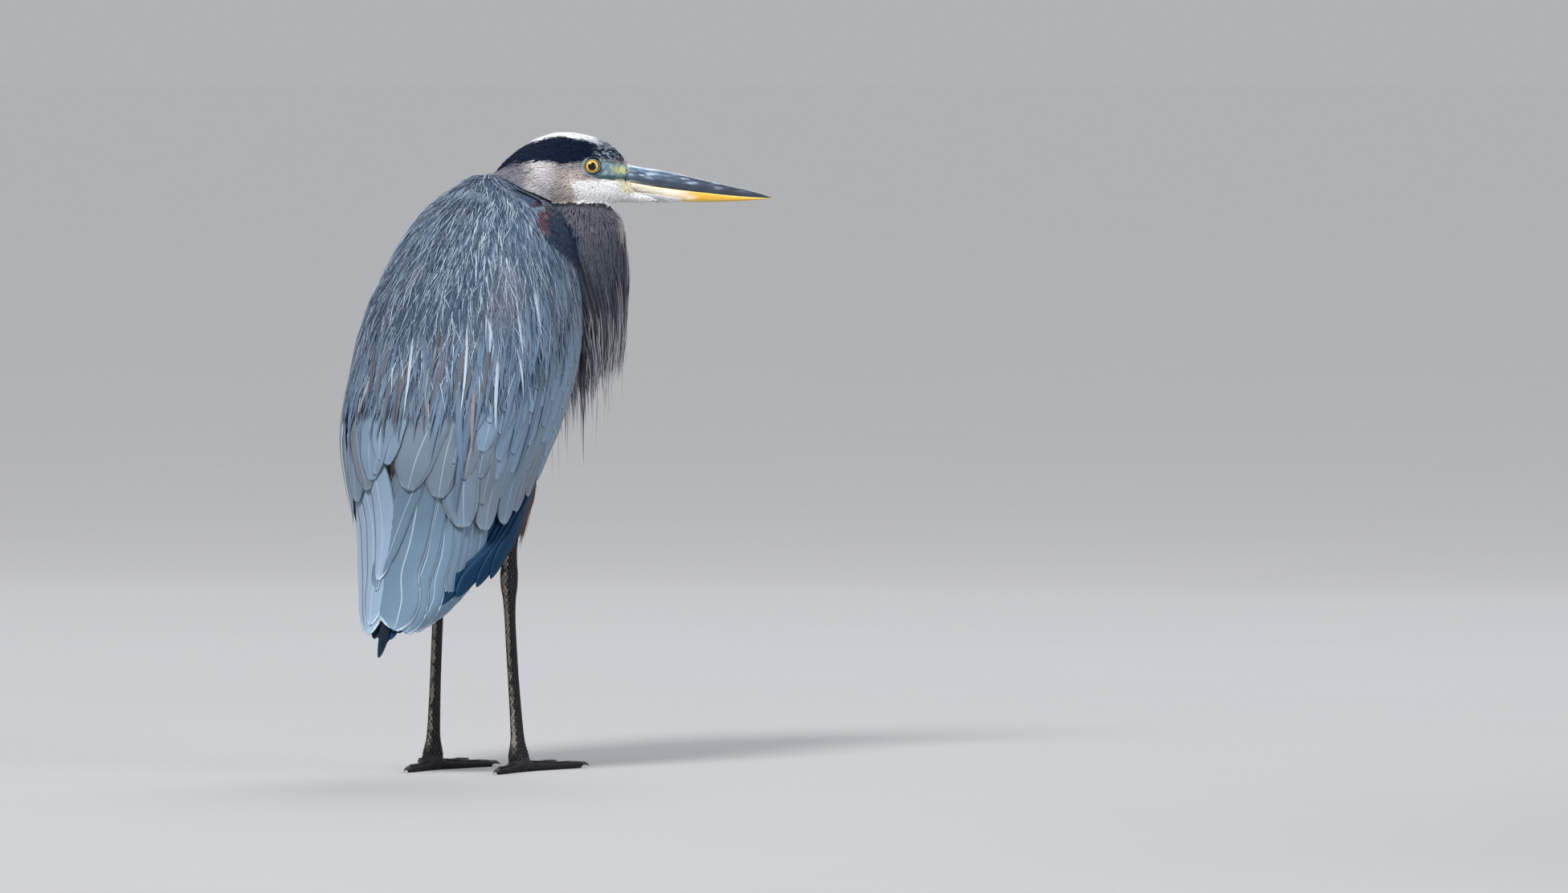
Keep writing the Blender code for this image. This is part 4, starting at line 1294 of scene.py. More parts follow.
# ---- parts of the bird
def strand_set(roots, random, aim, zone, length, width, lifts, steps=4, twist=8.0, ridge=0.25,
               outline=(0.75, 1.0, 0.85, 0.5, 0.1), colour=None, shade=(0.55, 1.25), spread=0.07,
               rim=1.0):
    """Tufts on the guide, ready for feather_piece."""
    line, normals = laid(roots, aim, length, steps, twist, random)
    profile = np.interp(np.linspace(0, 1, steps + 1), np.linspace(0, 1, len(outline)), outline)
    widths = width[:, None] * profile
    points, faces, vane = ribbons(line, normals, widths, lifts, ridge)
    base = coat_colour(roots, zoned(roots, zone)) if colour is None else colour
    jitter = np.clip(random.normal(1.0, spread, len(roots)), 0.5, 1.5)
    # shade darkens each strand's root and rim its edges: painted shade where strands cover and
    # border one another.
    tint = shaded(base, vane, *shade, jitter=jitter, painted_edge_shade=rim)
    return points, faces, vane, roots, zone, tint


def rise(low, high, steps):
    return low + (high - low) * np.linspace(0, 1, steps + 1)


def build_head_feathers(settings):
    def wanted(p):
        x = to_head(p)[:, 0]
        return np.where(
            lore_share(p) > 0.4, 0.0,
            np.interp(x, [-100, -60, -20, 10, 70], [0.5, 0.6, 1.0, 2.2, 2.6])
        )

    roots, random = scattered(settings, "head", ["head"], wanted)
    x, y, z = to_head(roots).T
    clear = np.minimum(np.hypot(x, z), 99) > np.where(np.abs(y) > 10, 8.3, 0)
    roots = roots[clear & (lore_share(roots) < 0.4)]
    x = to_head(roots)[:, 0]
    length = np.interp(x, [-95, -60, -30, 0, 15, 30, 70], [17, 12, 8.5, 5.2, 4.0, 3.2, 4.0])
    length = length * random.uniform(0.75, 1.25, len(x))
    width = np.interp(x, [-95, -40, 0, 30, 70], [1.7, 1.3, 0.95, 0.75, 0.8])
    parts = [
        strand_set(
            roots, random, swept_back, "head", length, width, rise(-1.3, 0.9, 3), 3, 9.0, 0.22,
            (0.8, 1.0, 0.7, 0.1), shade=(0.7, 1.12)
        ), chin_tufts(settings)
    ]
    feather_piece(
        "head_feathers", parts,
        feather_finish("head_plumage", 0.6, 0.08, 12.0, sheen=0.02, gloss=0.12)
    )


def chin_tufts(settings):
    """White feathering that runs forward under the lower bill."""
    count, random = tufts(settings, "chin")
    x = 24 + 62 * random.random(count) ** 0.8
    low = np.clip((tomium(x) - chin_line(x)) / (tomium(x) - gonys(x)), 0, 1) ** (1 / 0.85)
    first = np.arcsin(low)
    turn = first + (math.pi - 2 * first) * random.random(count)
    run = random.uniform(4, 8, count)[:, None] * np.linspace(0, 1, 4)
    here = x[:, None] - run
    up = np.sin(turn)[:, None] ** 0.85
    out = np.stack(
        [
            0 * here, 0.93 * bill_width(here) * np.cos(turn)[:, None],
            (gonys(here) - tomium(here)) * up
        ], axis=-1
    )
    normals = unit(out * np.array([1, 1.4, 1]))
    place = np.stack([here, out[..., 1], tomium(here) + out[..., 2]], axis=-1)
    loose = (
        np.interp(x, [30, 58, 74, 88], [0.2, 2.6, 2.4, 0.2]) * np.sin(turn) ** 3
        * random.random(count)
    )
    lifts = loose[:, None] + random.uniform(0.4, 1.0, (count, 1)) * np.linspace(0.1, 1, 4)
    points, faces, vane = ribbons(
        from_head(place), normals @ head_frame(), np.array([0.9, 1.1, 0.8, 0.1]), lifts, 0.2
    )
    tint = shaded(np.tile(WHITE, (count, 1)), vane, 0.92, 1.0)
    return points, faces, vane, from_head(place[:, 0]), "head", tint


def build_neck_feathers(settings):
    roots, random = scattered(settings, "neck", ["neck"], lambda p: ease(p[:, 2], 408, 440))
    z = roots[:, 2]
    length = np.interp(z, [330, 420, 500, 552], [24, 22, 15, 9]) * random.uniform(0.8, 1.3, len(z))
    width = np.full(len(z), 1.15) * random.uniform(0.7, 1.2, len(z))
    parts = [strand_set(roots, random, downhill, "neck", length, width, rise(-2.6, 1.1, 4), 4, 7.0,
                        shade=(0.6, 1.3), spread=0.12)]
    feather_piece(
        "neck_feathers", parts, feather_finish("neck_plumage", 0.62, 0.1, 20.0)
    )


def neck_rim(turn, height):
    """Points on the neck's level sections, turned from its front towards its left."""
    line = neck_section(height)
    heading = np.radians(line[:, 4])
    ahead, aside = line[:, 2] * np.cos(turn), line[:, 3] * np.sin(turn)
    x = line[:, 0] + ahead * np.cos(heading) - aside * np.sin(heading)
    y = line[:, 1] + ahead * np.sin(heading) + aside * np.cos(heading)
    return np.stack([x, y, height], axis=1)


def build_breast_plumes(settings):
    """The long loose plumes that hang from the folded neck, the lowest of them apart."""
    count, random = tufts(settings, "breast")
    turn = random.uniform(-math.pi * 0.85, math.pi * 0.85, count)
    pale = random.random(count) < 0.3
    top = np.where(pale, random.uniform(395, 462, count), random.uniform(400, 505, count))
    start = neck_rim(turn, np.full(count, 446.0))
    reach = 0.616 * start[:, 0] + 0.788 * np.abs(start[:, 1])
    low = np.interp(reach, [92, 104, 112, 122, 134, 145], [366, 372, 386, 404, 422, 438])
    low = low - random.exponential(13.0, count) + 9
    apart = random.random(count) < 0.07
    low = np.minimum(np.where(apart, low - random.uniform(20, 52, count), low), top - 24)
    deep = np.where(
        random.random(count) < 0.35, random.uniform(0.45, 0.95, count),
        random.uniform(0.97, 1.04, count)
    )
    flare, sway = random.normal(1.5, 2.5, count) + 3 * apart, random.normal(0, 4.0, count)
    steps = 8
    rings = []
    for share in np.linspace(0, 1, steps + 1):
        z = top + (low - top) * share
        held = np.maximum(z, 446)
        axis = np.column_stack([neck_section(held)[:, :2], z])
        rim = neck_rim(turn, held)
        rim = rim + 0.4 * (neck_rim(turn, np.maximum(z, 332)) - rim)
        rim[:, 2] = z
        out = unit(rim - axis)
        free = np.clip((446 - z) / 70, 0, 1.2)[:, None]
        aside = np.cross([0, 0, 1.0], out)
        rings.append(
            axis + (rim - axis) * deep[:, None]
            + free * (flare[:, None] * out + sway[:, None] * aside)
        )
    line = np.stack(rings, axis=1)
    normals = np.broadcast_to(
        unit(line[:, :1] - np.column_stack([neck_section(top)[:, :2], top])[:, None]), line.shape
    )
    profile = np.interp(np.linspace(0, 1, steps + 1), [0, 0.25, 0.55, 1], [0.12, 1.0, 0.6, 0.1])
    widths = np.where(apart, 1.4, random.uniform(0.9, 1.8, count))[:, None] * profile
    points, faces, vane = ribbons(line, normals, widths, 0.4, 0.3)
    pale = pale | apart
    base = np.where(pale[:, None], tone(0x939299), tone(0x41444D))
    tint = shaded(base, vane, 0.7, 1.75, random.normal(1, 0.14, count))
    parts = [(points, faces, vane, line[:, 0], "neck", tint)]
    feather_piece(
        "breast_plumes", parts, feather_finish("breast_plumage", 0.6, 0.08, 30.0)
    )


CAPE_HEM = single_curve(
    [(0, 392), (30, 396), (60, 408), (82, 440), (100, 466), (120, 500), (140, 535), (180, 545)]
)


def mantle_wanted(p):
    turn = back_turn(p)
    over = ease(p[:, 2] - CAPE_HEM(np.abs(turn)), -26, 44)
    below = [cloak_point(np.radians(turn), p[:, 2] - drop, 0.0) for drop in (0, 10, 20)]
    patch = np.max([shoulder_share(q)[0] for q in below], axis=0)
    return over * (1 - patch) * np.interp(p[:, 2], [340, 420, 500, 560], [0.45, 0.6, 1.0, 1.5])


# Lengths and widths by height, how far each strays, and the lift off the guide: at the root,
# what the tip gains at least and at most, and how it bends.
# In each look, shade and rim paint shade: a darker root where the strands overlap, and darker edges
# as shadow between them.
MANTLE_FEATHERS = {
    "length": ([380, 430, 500, 550, 580], [58, 48, 32, 20, 13]), "length spread": (0.75, 1.25),
    "width": ([380, 430, 500, 560], [7.0, 5.0, 3.0, 2.0]), "width spread": (0.75, 1.2),
    "lift": (-2.6, 2.6, 3.6, 0.8),
    "look": {"twist": 8.0, "ridge": 0.16, "outline": (0.7, 1.0, 1.0, 0.8, 0.45, 0.08),
             "shade": (0.28, 1.08), "spread": 0.1, "rim": 0.72},
}
MANTLE_PLUMES = {
    "length": ([380, 430, 500, 550, 580], [76, 66, 50, 30, 17]), "length spread": (0.65, 1.3),
    "width": ([380, 460, 560], [1.2, 0.95, 0.75]), "width spread": (0.7, 1.3),
    "lift": (-1.2, 2.0, 3.8, 0.9),
    "look": {"twist": 13.0, "ridge": 0.3, "outline": (0.5, 0.9, 1.0, 0.8, 0.5, 0.1),
             "shade": (0.55, 1.12), "spread": 0.08, "rim": 0.8},
}


def build_mantle_feathers(settings):
    """Soft blue-grey feathers under a layer of fine pale plumes that fan out and cross."""
    finish = feather_finish("mantle_plumage", 0.6, 0.1, 26.0, 0.3, 0.1)
    for name in ("mantle_feathers_1", "mantle_feathers_2", "mantle_plumes_1", "mantle_plumes_2"):
        loose = name.startswith("mantle_plumes")
        layer = MANTLE_PLUMES if loose else MANTLE_FEATHERS
        roots, random = scattered(settings, name, ["back"], mantle_wanted)
        count = len(roots)
        length, width = (
            np.interp(roots[:, 2], *layer[size]) * random.uniform(*layer[f"{size} spread"], count)
            for size in ("length", "width")
        )
        low, least, most, bend = layer["lift"]
        lifts = low + random.uniform(least, most, (count, 1)) * np.linspace(0, 1, 6) ** bend
        base = coat_colour(roots, zoned(roots, "back"))
        if loose:
            base = base + (PALE_PLUME - base) * random.uniform(0.0, 1.0, (count, 1)) ** 2.6
        else:
            base = base * np.interp(roots[:, 2], [365, 430], [1.25, 0.9])[:, None]
        sizes = ("back", length, width, lifts, 5)
        strands = strand_set(roots, random, downhill, *sizes, colour=base, **layer["look"])
        feather_piece(name, [strands], finish)


# Plumes that stand apart: (turn, height) of the root, the middle and the tip, the width, and
# 0 for blue-grey, 1 for whitish, 2 for pinkish. Turns are counted from the spine.
LONG_PLUMES = [
    (36, 442, 39, 394, 42, 348, 3.4, 1), (48, 451, 49, 421, 50, 394, 3.2, 1),
    (53, 425, 57, 372, 63, 333, 4.0, 1), (60, 477, 64, 438, 71, 388, 3.2, 1),
    (64, 416, 69, 390, 74, 364, 2.6, 1), (81, 450, 84, 405, 89, 372, 3.0, 0),
    (17, 420, 22, 372, 29, 331, 3.8, 2), (43, 400, 48, 350, 53, 311, 4.6, 2),
    (34, 400, 44, 330, 51, 288, 6.5, 0), (71, 485, 76, 449, 80, 421, 2.8, 1),
    (66, 420, 67, 360, 67, 312, 6.0, 0), (74, 400, 75, 350, 76, 302, 5.5, 0),
    (90, 430, 92, 370, 93, 318, 5.0, 0), (30, 400, 31, 350, 31, 302, 5.5, 0),
    (84, 410, 86, 340, 86, 284, 5.5, 0), (46, 390, 48, 310, 49, 252, 7.0, 0),
    (8, 430, 10, 390, 12, 345, 3.2, 1), (100, 440, 102, 405, 103, 372, 2.8, 0),
]


def build_scapular_plumes(settings):
    """Long narrow plumes over the folded wings, a few of them whitish."""
    count, random = tufts(settings, "scapulars")
    turn = random.uniform(-106, 106, count)
    top = CAPE_HEM(np.abs(turn)) + random.uniform(0, 45, count)
    length = random.uniform(42, 86, count) * np.interp(np.abs(turn), [0, 60, 106], [1.0, 1.0, 0.7])
    drift = np.sign(turn) * random.normal(2.0, 3.0, count)
    rows = [
        np.column_stack(
            [
                turn, top, turn + drift * 0.3, top - length / 2, turn + drift, top - length,
                random.uniform(2.4, 4.8, count), random.choice([0, 0, 0, 0, 3], count)
            ]
        )
    ]
    for side in (-1, 1):
        own = np.array(LONG_PLUMES, float)
        own[:, 7] = np.where((side > 0) & (own[:, 7] == 1) & (own[:, 0] < 62), 0, own[:, 7])
        own[:, [0, 2, 4]] += 0 if side < 0 else random.normal(0, 3, (len(own), 1))
        own[:, [0, 2, 4]] *= side
        rows.append(own)
    rows = np.vstack(rows)
    share = np.linspace(0, 1, 10)[None, :]
    a, b, c = rows[:, 0:2], rows[:, 2:4], rows[:, 4:6]
    b = 2 * b - (a + c) / 2
    place = (
        ((1 - share) ** 2)[..., None] * a[:, None]
        + (2 * share * (1 - share))[..., None] * b[:, None]
    )
    place = place + (share**2)[..., None] * c[:, None]
    high = random.uniform(0.4, 1.8, (len(rows), 1)) + 0.8 * (rows[:, 7:8] > 0)
    lift = 0.4 + high * np.sin(share * 2.3)
    turns, heights = np.radians(place[..., 0]), place[..., 1]
    line = cloak_point(turns, heights, -lift)
    normals = unit(line - cloak_point(turns, heights, 4.0))
    profile = np.interp(share[0], [0, 0.25, 0.6, 0.85, 1], [0.5, 1.0, 0.85, 0.4, 0.05])
    widths = rows[:, 6:7] * random.uniform(0.85, 1.1, (len(rows), 1)) * profile
    points, faces, vane = ribbons(line, normals, widths, 0.0, 0.14)
    hues = np.array([tone(0x5B7189), tone(0xA6B5C5), tone(0x857C82), tone(0x565A64)])
    # Painted shade on each plume's root and edges.
    tint = shaded(
        hues[rows[:, 7].astype(int)], vane, 0.62, 1.08, random.normal(1, 0.07, len(rows)), 0.86
    )
    parts = [(points, faces, vane, line[:, 0], "back", tint)]
    feather_piece(
        "scapular_plumes", parts, feather_finish("scapular_plumage", 0.55, 0.1, 60.0),
    )


def build_shoulder_patches(settings):
    roots, random = scattered(
        settings, "shoulders", ["back", "belly"], lambda p: shoulder_share(p)[0] * (p[:, 2] > 440)
    )
    length = random.uniform(11, 20, len(roots))
    width = random.uniform(1.6, 3.0, len(roots))
    parts = [
        strand_set(
            roots, random, downhill, "back", length, width, rise(-2.0, 1.6, 4), 4, 9.0,
            shade=(0.6, 1.25), spread=0.15
        )
    ]
    feather_piece(
        "shoulder_feathers", parts, feather_finish("shoulder_plumage", 0.5, 0.12, 24.0),
    )


def broad_piece(name, side, paths, base, finish, slot_name, replaced, patch, **shape):
    points, faces, vane, roots = vane_set(side, *paths, **shape)
    count = len(roots)
    colours = base(roots) if callable(base) else np.broadcast_to(base, (count, 3))
    tint = tinted_rows(colours, vane, count)
    mesh = mesh_from_arrays(name, to_scene(points), faces)
    add_colour(mesh, "tint", np.clip(tint.reshape(-1, 3), 0, 1))
    place = unwrap_place(roots, zoned(roots, "back"))
    bake = place[:, None, :] + (vane[None] - 0.5) * patch
    add_uv(mesh, "OFBake", np.clip(bake.reshape(-1, 2), 0, 1))
    add_uv(mesh, "vane", np.tile(vane, (count, 1)), active=True)
    finish_piece(mesh, name, finish, replaced)


def covert_colour(roots):
    z = roots[:, 2]
    shade = blend(WING_BLUE, tone(0x5E6168), ease(mottle(roots, 48.0, 2.0), -0.1, 0.9) * 0.7)
    shade = shade * np.array([1.1, 1.1, 1.08])
    return blend(shade, tone(0x4C5F77), ease(z, 380, 520) * 0.6)


def build_wing_feathers(settings):
    coverts = vane_finish("covert_vanes", tone(0xB4C4D2), 0.6, 0.5, rim_start=0.9)
    flight = vane_finish("secondary_vanes", tone(0xC6D6E4), 0.5, 0.9, 0.08)
    slate = vane_finish("primary_vanes", tone(0x2F6286), 0.6, 0.22, 0.1, gloss=0.12)
    flights = {
        "left": (LEFT_SECONDARIES, LEFT_PRIMARIES), "right": (RIGHT_SECONDARIES, RIGHT_PRIMARIES)
    }
    for label, side in SIDES.items():
        inner, outer = flights[label]
        rows = covert_rows(side)
        taper = np.random.default_rng(COVERT_TIP_SEED).uniform(0.9, 2.1, len(rows))
        taper[:PLACED_COVERTS] = 0.85
        broad_piece(f"covert_feathers_{label}", side, covert_paths(rows), covert_colour,
                    coverts, "wing_feathers", (), 0.02, shaft=0.42, taper=taper, roundness=1.7)
        # Painted light: the left wing's secondaries are a paler, lit copy of the right wing's
        # colour.
        broad_piece(
            f"secondary_feathers_{label}", side, flight_paths(inner, 0.35, 0.5),
            tone(0x849BB3 if side > 0 else 0x5F788E), flight, "wing_feathers",
            (f"secondaries_{label}",), 0.03, shaft=0.35, taper=[row[4] for row in inner]
        )
        broad_piece(
            f"primary_feathers_{label}", side, flight_paths(outer, 0.3, 0.35),
            tone(0x0E1C2A if side > 0 else 0x08304E), slate, "primary_feathers",
            (f"primaries_{label}",), 0.03, shaft=0.3, taper=[row[4] for row in outer]
        )


def thigh_plumes(settings):
    """Loose feathers that hang off the thigh and close round the top of the leg."""
    roots, random = scattered(settings, "thigh plumes", ["thigh"], lambda p: np.ones(len(p)))
    share = np.linspace(0, 1, 6)[None, :, None]
    rings = []
    for side in SIDES.values():
        own = roots[roots[:, 1] * side > 0]
        low, high = np.percentile(own[:, 2], [1, 99])
        under = own[own[:, 2] < low + 0.12 * (high - low)].mean(axis=0)
        own = own[own[:, 2] < low + 0.72 * (high - low)]
        middle = own.mean(axis=0)
        away = own - middle
        away[:, 2] = 0
        girth = np.linalg.norm(away, axis=1, keepdims=True)
        length = own[:, 2] - low + (random.exponential(5, len(own)) - 1) * ease(girth[:, 0], 2, 9)
        centre = middle + (under - middle) * share * 0.8
        line = centre + away[:, None] * (0.96 + 0.08 * share - 0.6 * share**2)
        line[:, :, 2] = own[:, 2][:, None] - np.maximum(length, 6)[:, None] * share[:, :, 0]
        rings.append((own, line, away / np.maximum(girth, 1e-6)))
    own, line, away = (np.concatenate(part) for part in zip(*rings))
    line[:, 1:] += random.normal(0, 0.45, (len(own), 1, 3)) * share[:, 1:]
    normals = np.broadcast_to(away[:, None], line.shape)
    widths = (
        random.uniform(1.0, 2.0, len(own))[:, None]
        * np.interp(share[0, :, 0], [0, 0.3, 0.7, 1], [0.6, 1, 0.75, 0.1])
    )
    points, faces, vane = ribbons(line, normals, widths, 0.3, 0.3)
    colour = coat_colour(own, zoned(own, "thigh"))
    tint = shaded(colour, vane, 0.6, 1.35, random.normal(1, 0.2, len(own)))
    return points, faces, vane, own, "thigh", tint


def build_belly_feathers(settings):
    roots, random = scattered(settings, "belly", ["belly"], lambda p: (p[:, 2] < 470) + 0.05)
    length = random.uniform(16, 30, len(roots))
    width = random.uniform(2.0, 3.6, len(roots))
    white = ((random.random(len(roots)) < 0.22) & (roots[:, 0] > -50))[:, None]
    vent = ease(-roots[:, 0], 55, 95)[:, None]
    colour = np.where(white, tone(0xC9CACB), coat_colour(roots, zoned(roots, "belly")))
    colour = colour + (tone(0x8A8F96) - colour) * vent
    back = lambda p: np.tile([-0.5, 0, -1.0], (len(p), 1))
    parts = [
        strand_set(
            roots, random, back, "belly", length, width, rise(-2.0, 1.5, 4), 4, 10.0,
            colour=colour, spread=0.1
        )
    ]
    feather_piece(
        "belly_feathers", parts, feather_finish("belly_plumage", 0.6, 0.1, 24.0)
    )
    roots, random = scattered(settings, "thighs", ["thigh"], lambda p: np.ones(len(p)))
    length = random.uniform(11, 22, len(roots))
    width = random.uniform(1.1, 2.0, len(roots))
    parts = [
        strand_set(
            roots, random, downhill, "thigh", length, width, rise(-1.5, 2.2, 4), 4, 8.0,
            shade=(0.6, 1.35), spread=0.2
        ), thigh_plumes(settings)
    ]
    feather_piece(
        "thigh_feathers", parts, feather_finish("thigh_plumage", 0.65, 0.1, 16.0)
    )


def build_tail_feathers(settings):
    count, steps = 12, 12
    spread = np.linspace(-1, 1, count)
    share = np.linspace(0, 1, steps + 1)[None, :]
    height = 275 - (275 - (137 + 6 * spread[:, None] ** 2)) * share**0.8
    x = np.interp(height, [122, 132, 160, 200, 240, 272], [-134, -132, -127, -119, -110, -103])
    x = x - 2.2 + 3.6 * (1 - np.abs(spread))[:, None] * share - 0.5 * np.arange(count)[:, None] % 2
    y = spread[:, None] * (8 + 11 * share)
    line = np.stack([x, y, height], axis=2)
    normals = np.broadcast_to(
        unit(np.stack([-np.ones(count), 0.35 * spread, np.zeros(count)], axis=1))[:, None],
        line.shape
    )
    profile = np.sqrt(np.clip(1 - ((share[0] - 0.45) / 0.57) ** 6, 0.02, 1))
    points, faces, vane = ribbons(line, normals, 15.0 * profile, 0.0, 0.04)
    tint = shaded(np.tile(tone(0x6A7C92), (count, 1)), vane, 0.8, 1.05)
    parts = [(points, faces, vane, line[:, 0], "back", tint)]
    feather_piece(
        "tail_feathers", parts, vane_finish("tail_vanes", tone(0x9FB2C6), 0.55, 0.5),
        ("tail",)
    )


# ---- bill, eyes, claws, scales
def lofted(rings, tip=None):
    """Points and quads of a tube through equal rings, with a cap at its start."""
    rings = np.asarray(rings, float)
    rows, sides = rings.shape[:2]
    points = rings.reshape(-1, 3)
    faces = grid_faces(rows, sides, closed=True)
    points = np.vstack(
        [points, rings[0].mean(axis=0), rings[-1].mean(axis=0) if tip is None else tip]
    )
    low, high = len(points) - 2, len(points) - 1
    last = (rows - 1) * sides
    around = np.arange(sides)
    after = (around + 1) % sides
    start = np.stack([after, around, np.full(sides, low), np.full(sides, low)], axis=1)
    end = np.stack(
        [last + around, last + after, np.full(sides, high), np.full(sides, high)], axis=1
    )
    return points, np.vstack([faces, start, end])


def facing_out(mesh, flat=False):
    """Faces turned outwards, or upwards on a flat mesh."""
    shape = bmesh.new()
    shape.from_mesh(mesh)
    if flat:
        down = [face for face in shape.faces if face.normal.z < 0]
        bmesh.ops.reverse_faces(shape, faces=down)
    else:
        bmesh.ops.recalc_face_normals(shape, faces=shape.faces)
        if shape.calc_volume(signed=True) < 0:
            bmesh.ops.reverse_faces(shape, faces=shape.faces)
    shape.to_mesh(mesh)
    shape.free()


def horn_piece(name, points, faces, tint, finish, replaced):
    mesh = mesh_from_arrays(name, to_scene(points), faces)
    add_colour(mesh, "tint", tint)
    facing_out(mesh)
    finish_piece(mesh, name, finish, replaced)


def bill_half(upper, stations, sides):
    """Rings of one half of the bill: its outside, then a shallow mouth side."""
    sign = 1 if upper else -1
    x = stations[:, None]
    seam = tomium(x) + 0.12 * sign
    crown, half = (culmen(x), bill_width(x)) if upper else (gonys(x), bill_width(x) * 0.93)
    turn = math.pi * np.arange(sides) / (sides - 1)
    rise = np.sin(turn) ** 0.85
    y = half * np.cos(turn)
    if upper:  # a groove runs forward from the nostril, under the ridge
        y = y * (1 - 0.09 * np.exp(-(((rise - 0.66) / 0.1) ** 2)) * ease(-x, -140, -60))
        y = y * (1 - 0.2 * np.exp(-(((rise - 0.6) / 0.09) ** 2) - ((x - 47) / 7) ** 4))
    share = np.arange(1, 6) / 6
    outside = np.broadcast_arrays(x, y, seam + (crown - seam) * rise)
    mouth = np.broadcast_arrays(
        x, 2 * half * share - half, seam + 0.5 * sign * np.sin(math.pi * share)
    )
    return np.concatenate([np.stack(outside, axis=-1), np.stack(mouth, axis=-1)], axis=1)


def upper_bill_tint(local, rise, scuff):
    """Slate horn with pale streaks above that carry painted highlights, a dark lower band and a
    dark nostril slit.
    """
    x = local[:, 0]
    high = rise / np.maximum(culmen(x) - tomium(x), 1)
    streak = mottle(local * np.array([0.12, 1, 1]), 2.2, 5.1)
    return layered(
        tone(0x2C3A4E),
        (0x6F8BA8, ease(-x, -100, -30) * ease(rise, 3, 12) * 0.7),
        (0xC9C49A, ease(1.9 - rise, 0, 1.2) * ease(-x, -95, -30) * 0.8),
        (0x242A36, ease(x, 90, 150) * 0.8),
        (0x9FA6B0, scuff * ease(2.6 + 0.05 * (90 - x) - rise, -1, 2) * 0.45),
        (0x10151C, np.exp(-(((high - 0.6) / 0.08) ** 2) - ((x - 47) / 6.5) ** 4)),
        (0x1E2633, ease(0.5 - high, -0.12, 0.12) * ease(x, 34, 60) * 0.55),
        # Streaked horn with painted highlights: the pale streaks lie only on the top half of the
        # upper bill.
        (0xB4C6DA, ease(streak, 0.15, 0.7) * ease(high, 0.3, 0.55) * ease(-x, -165, -70) * 0.6),
        (0x131A25, ease(-streak, 0.2, 0.75) * 0.6),
        (0xD6D68A, ease(34 - x, -3, 4) * ease(rise, 10, 14) * ease(18.5 - rise, -1, 2) * 0.9),
    )


def lower_bill_tint(local, rise, scuff, colour):
    """Cream horn that turns to the colour given towards the tip, white at the chin."""
    x = local[:, 0]
    chin = chin_line(x) - local[:, 2]
    tint = layered(
        blend(tone(0xD9D2BE), colour, ease(x, 80, 106)),
        (0xD8C56A, ease(1.6 - rise, 0, 1.0) * ease(x, 40, 70) * 0.8),
        (0xDDB75A, ease(rise - 6.5, 0, 2.0) * ease(x, 60, 90) * 0.7),
        (0xF2EEE2, scuff * ease(-x, -130, -80) * 0.5),
        (0xC9A94E, ease(chin, -1.6, -0.6) * ease(-x, -88, -80) * ease(x, 40, 55) * 0.7),
    )
    return blend(tint, WHITE, ease(chin, -0.5, 0.4) * ease(-x, -88, -84))


def build_bill(settings):
    stations = [np.linspace(BILL_START, 70, 34), np.linspace(72, BILL_TIP - 0.6, 50)]
    for label, sign in (("upper", 1), ("lower", -1)):
        upper = sign > 0
        rings = bill_half(upper, np.concatenate(stations), 33)
        tip = (BILL_TIP - (0 if upper else 0.6), 0, tomium(BILL_TIP) + 0.15 * sign)
        points, faces = lofted(from_head(rings), from_head(tip))
        local = to_head(points)
        rise = (local[:, 2] - tomium(local[:, 0])) * sign
        scuff = ease(mottle(local * np.array([0.25, 1, 1]), 3.4), 0.35, 0.8)
        tint = (
            upper_bill_tint(local, rise, scuff) if upper
            else lower_bill_tint(local, rise, scuff, np.array(settings.bill_colour))
        )
        slot_name = f"{label}_bill"
        horn_piece(
            f"{slot_name}_sheath", points, faces, np.clip(tint, 0, 1), bill_finish(slot_name),
            (f"bill_{label}",)
        )


def bill_finish(name):
    """Horn with fine lengthwise wear and a soft gloss."""
    f = Finish(f"{name}_horn", 0.34, Coat_Weight=0.25, Coat_Roughness=0.3)
    along = f.stretch((60.0, 60.0, 620.0), (0.0, 0.0, math.radians(-HEAD_TURN)))
    grain = f.noise(along, 1.0, 4.0)
    cloud = f.noise(f.place(), 160.0, 4.0)
    shade = 1.0 + (grain - 0.5) * (1.5 if name == "upper_bill" else 0.6) + (cloud - 0.5) * 0.35
    f.set("Base Color", f.stained(shade))
    f.set("Roughness", 0.3 + cloud * 0.22)
    f.bump(grain + cloud * 0.6, 0.25, 0.0004)
    return f.material


def build_eyes(settings):
    finish = eye_finish(settings)
    tilt = math.pi * np.arange(1, 25)[:, None] / 25
    radius = EYE_RADIUS - 0.05 + 0.1 * np.exp(-((tilt / 0.6) ** 2))
    around, out = circle(48), radius * np.sin(tilt)
    for label, side in SIDES.items():
        place = (
            out * np.cos(around), side * (EYE_SPREAD + radius * np.cos(tilt)), out * np.sin(around)
        )
        rings = np.stack(np.broadcast_arrays(*place), axis=-1)
        points, faces = lofted(from_head(rings))
        mesh = mesh_from_arrays(f"eyeball_{label}", to_scene(points), faces)
        facing_out(mesh)
        spot = to_head(points)
        add_uv(
            mesh, "gaze",
            np.stack(
                [
                    np.hypot(spot[:, 0], spot[:, 2]) / 8.0,
                    np.arctan2(spot[:, 2], spot[:, 0]) / 6.2832 + 0.5
                ], axis=1
            ), active=True
        )
        finish_piece(mesh, f"eyeball_{label}", finish, (f"eye_{label}",))


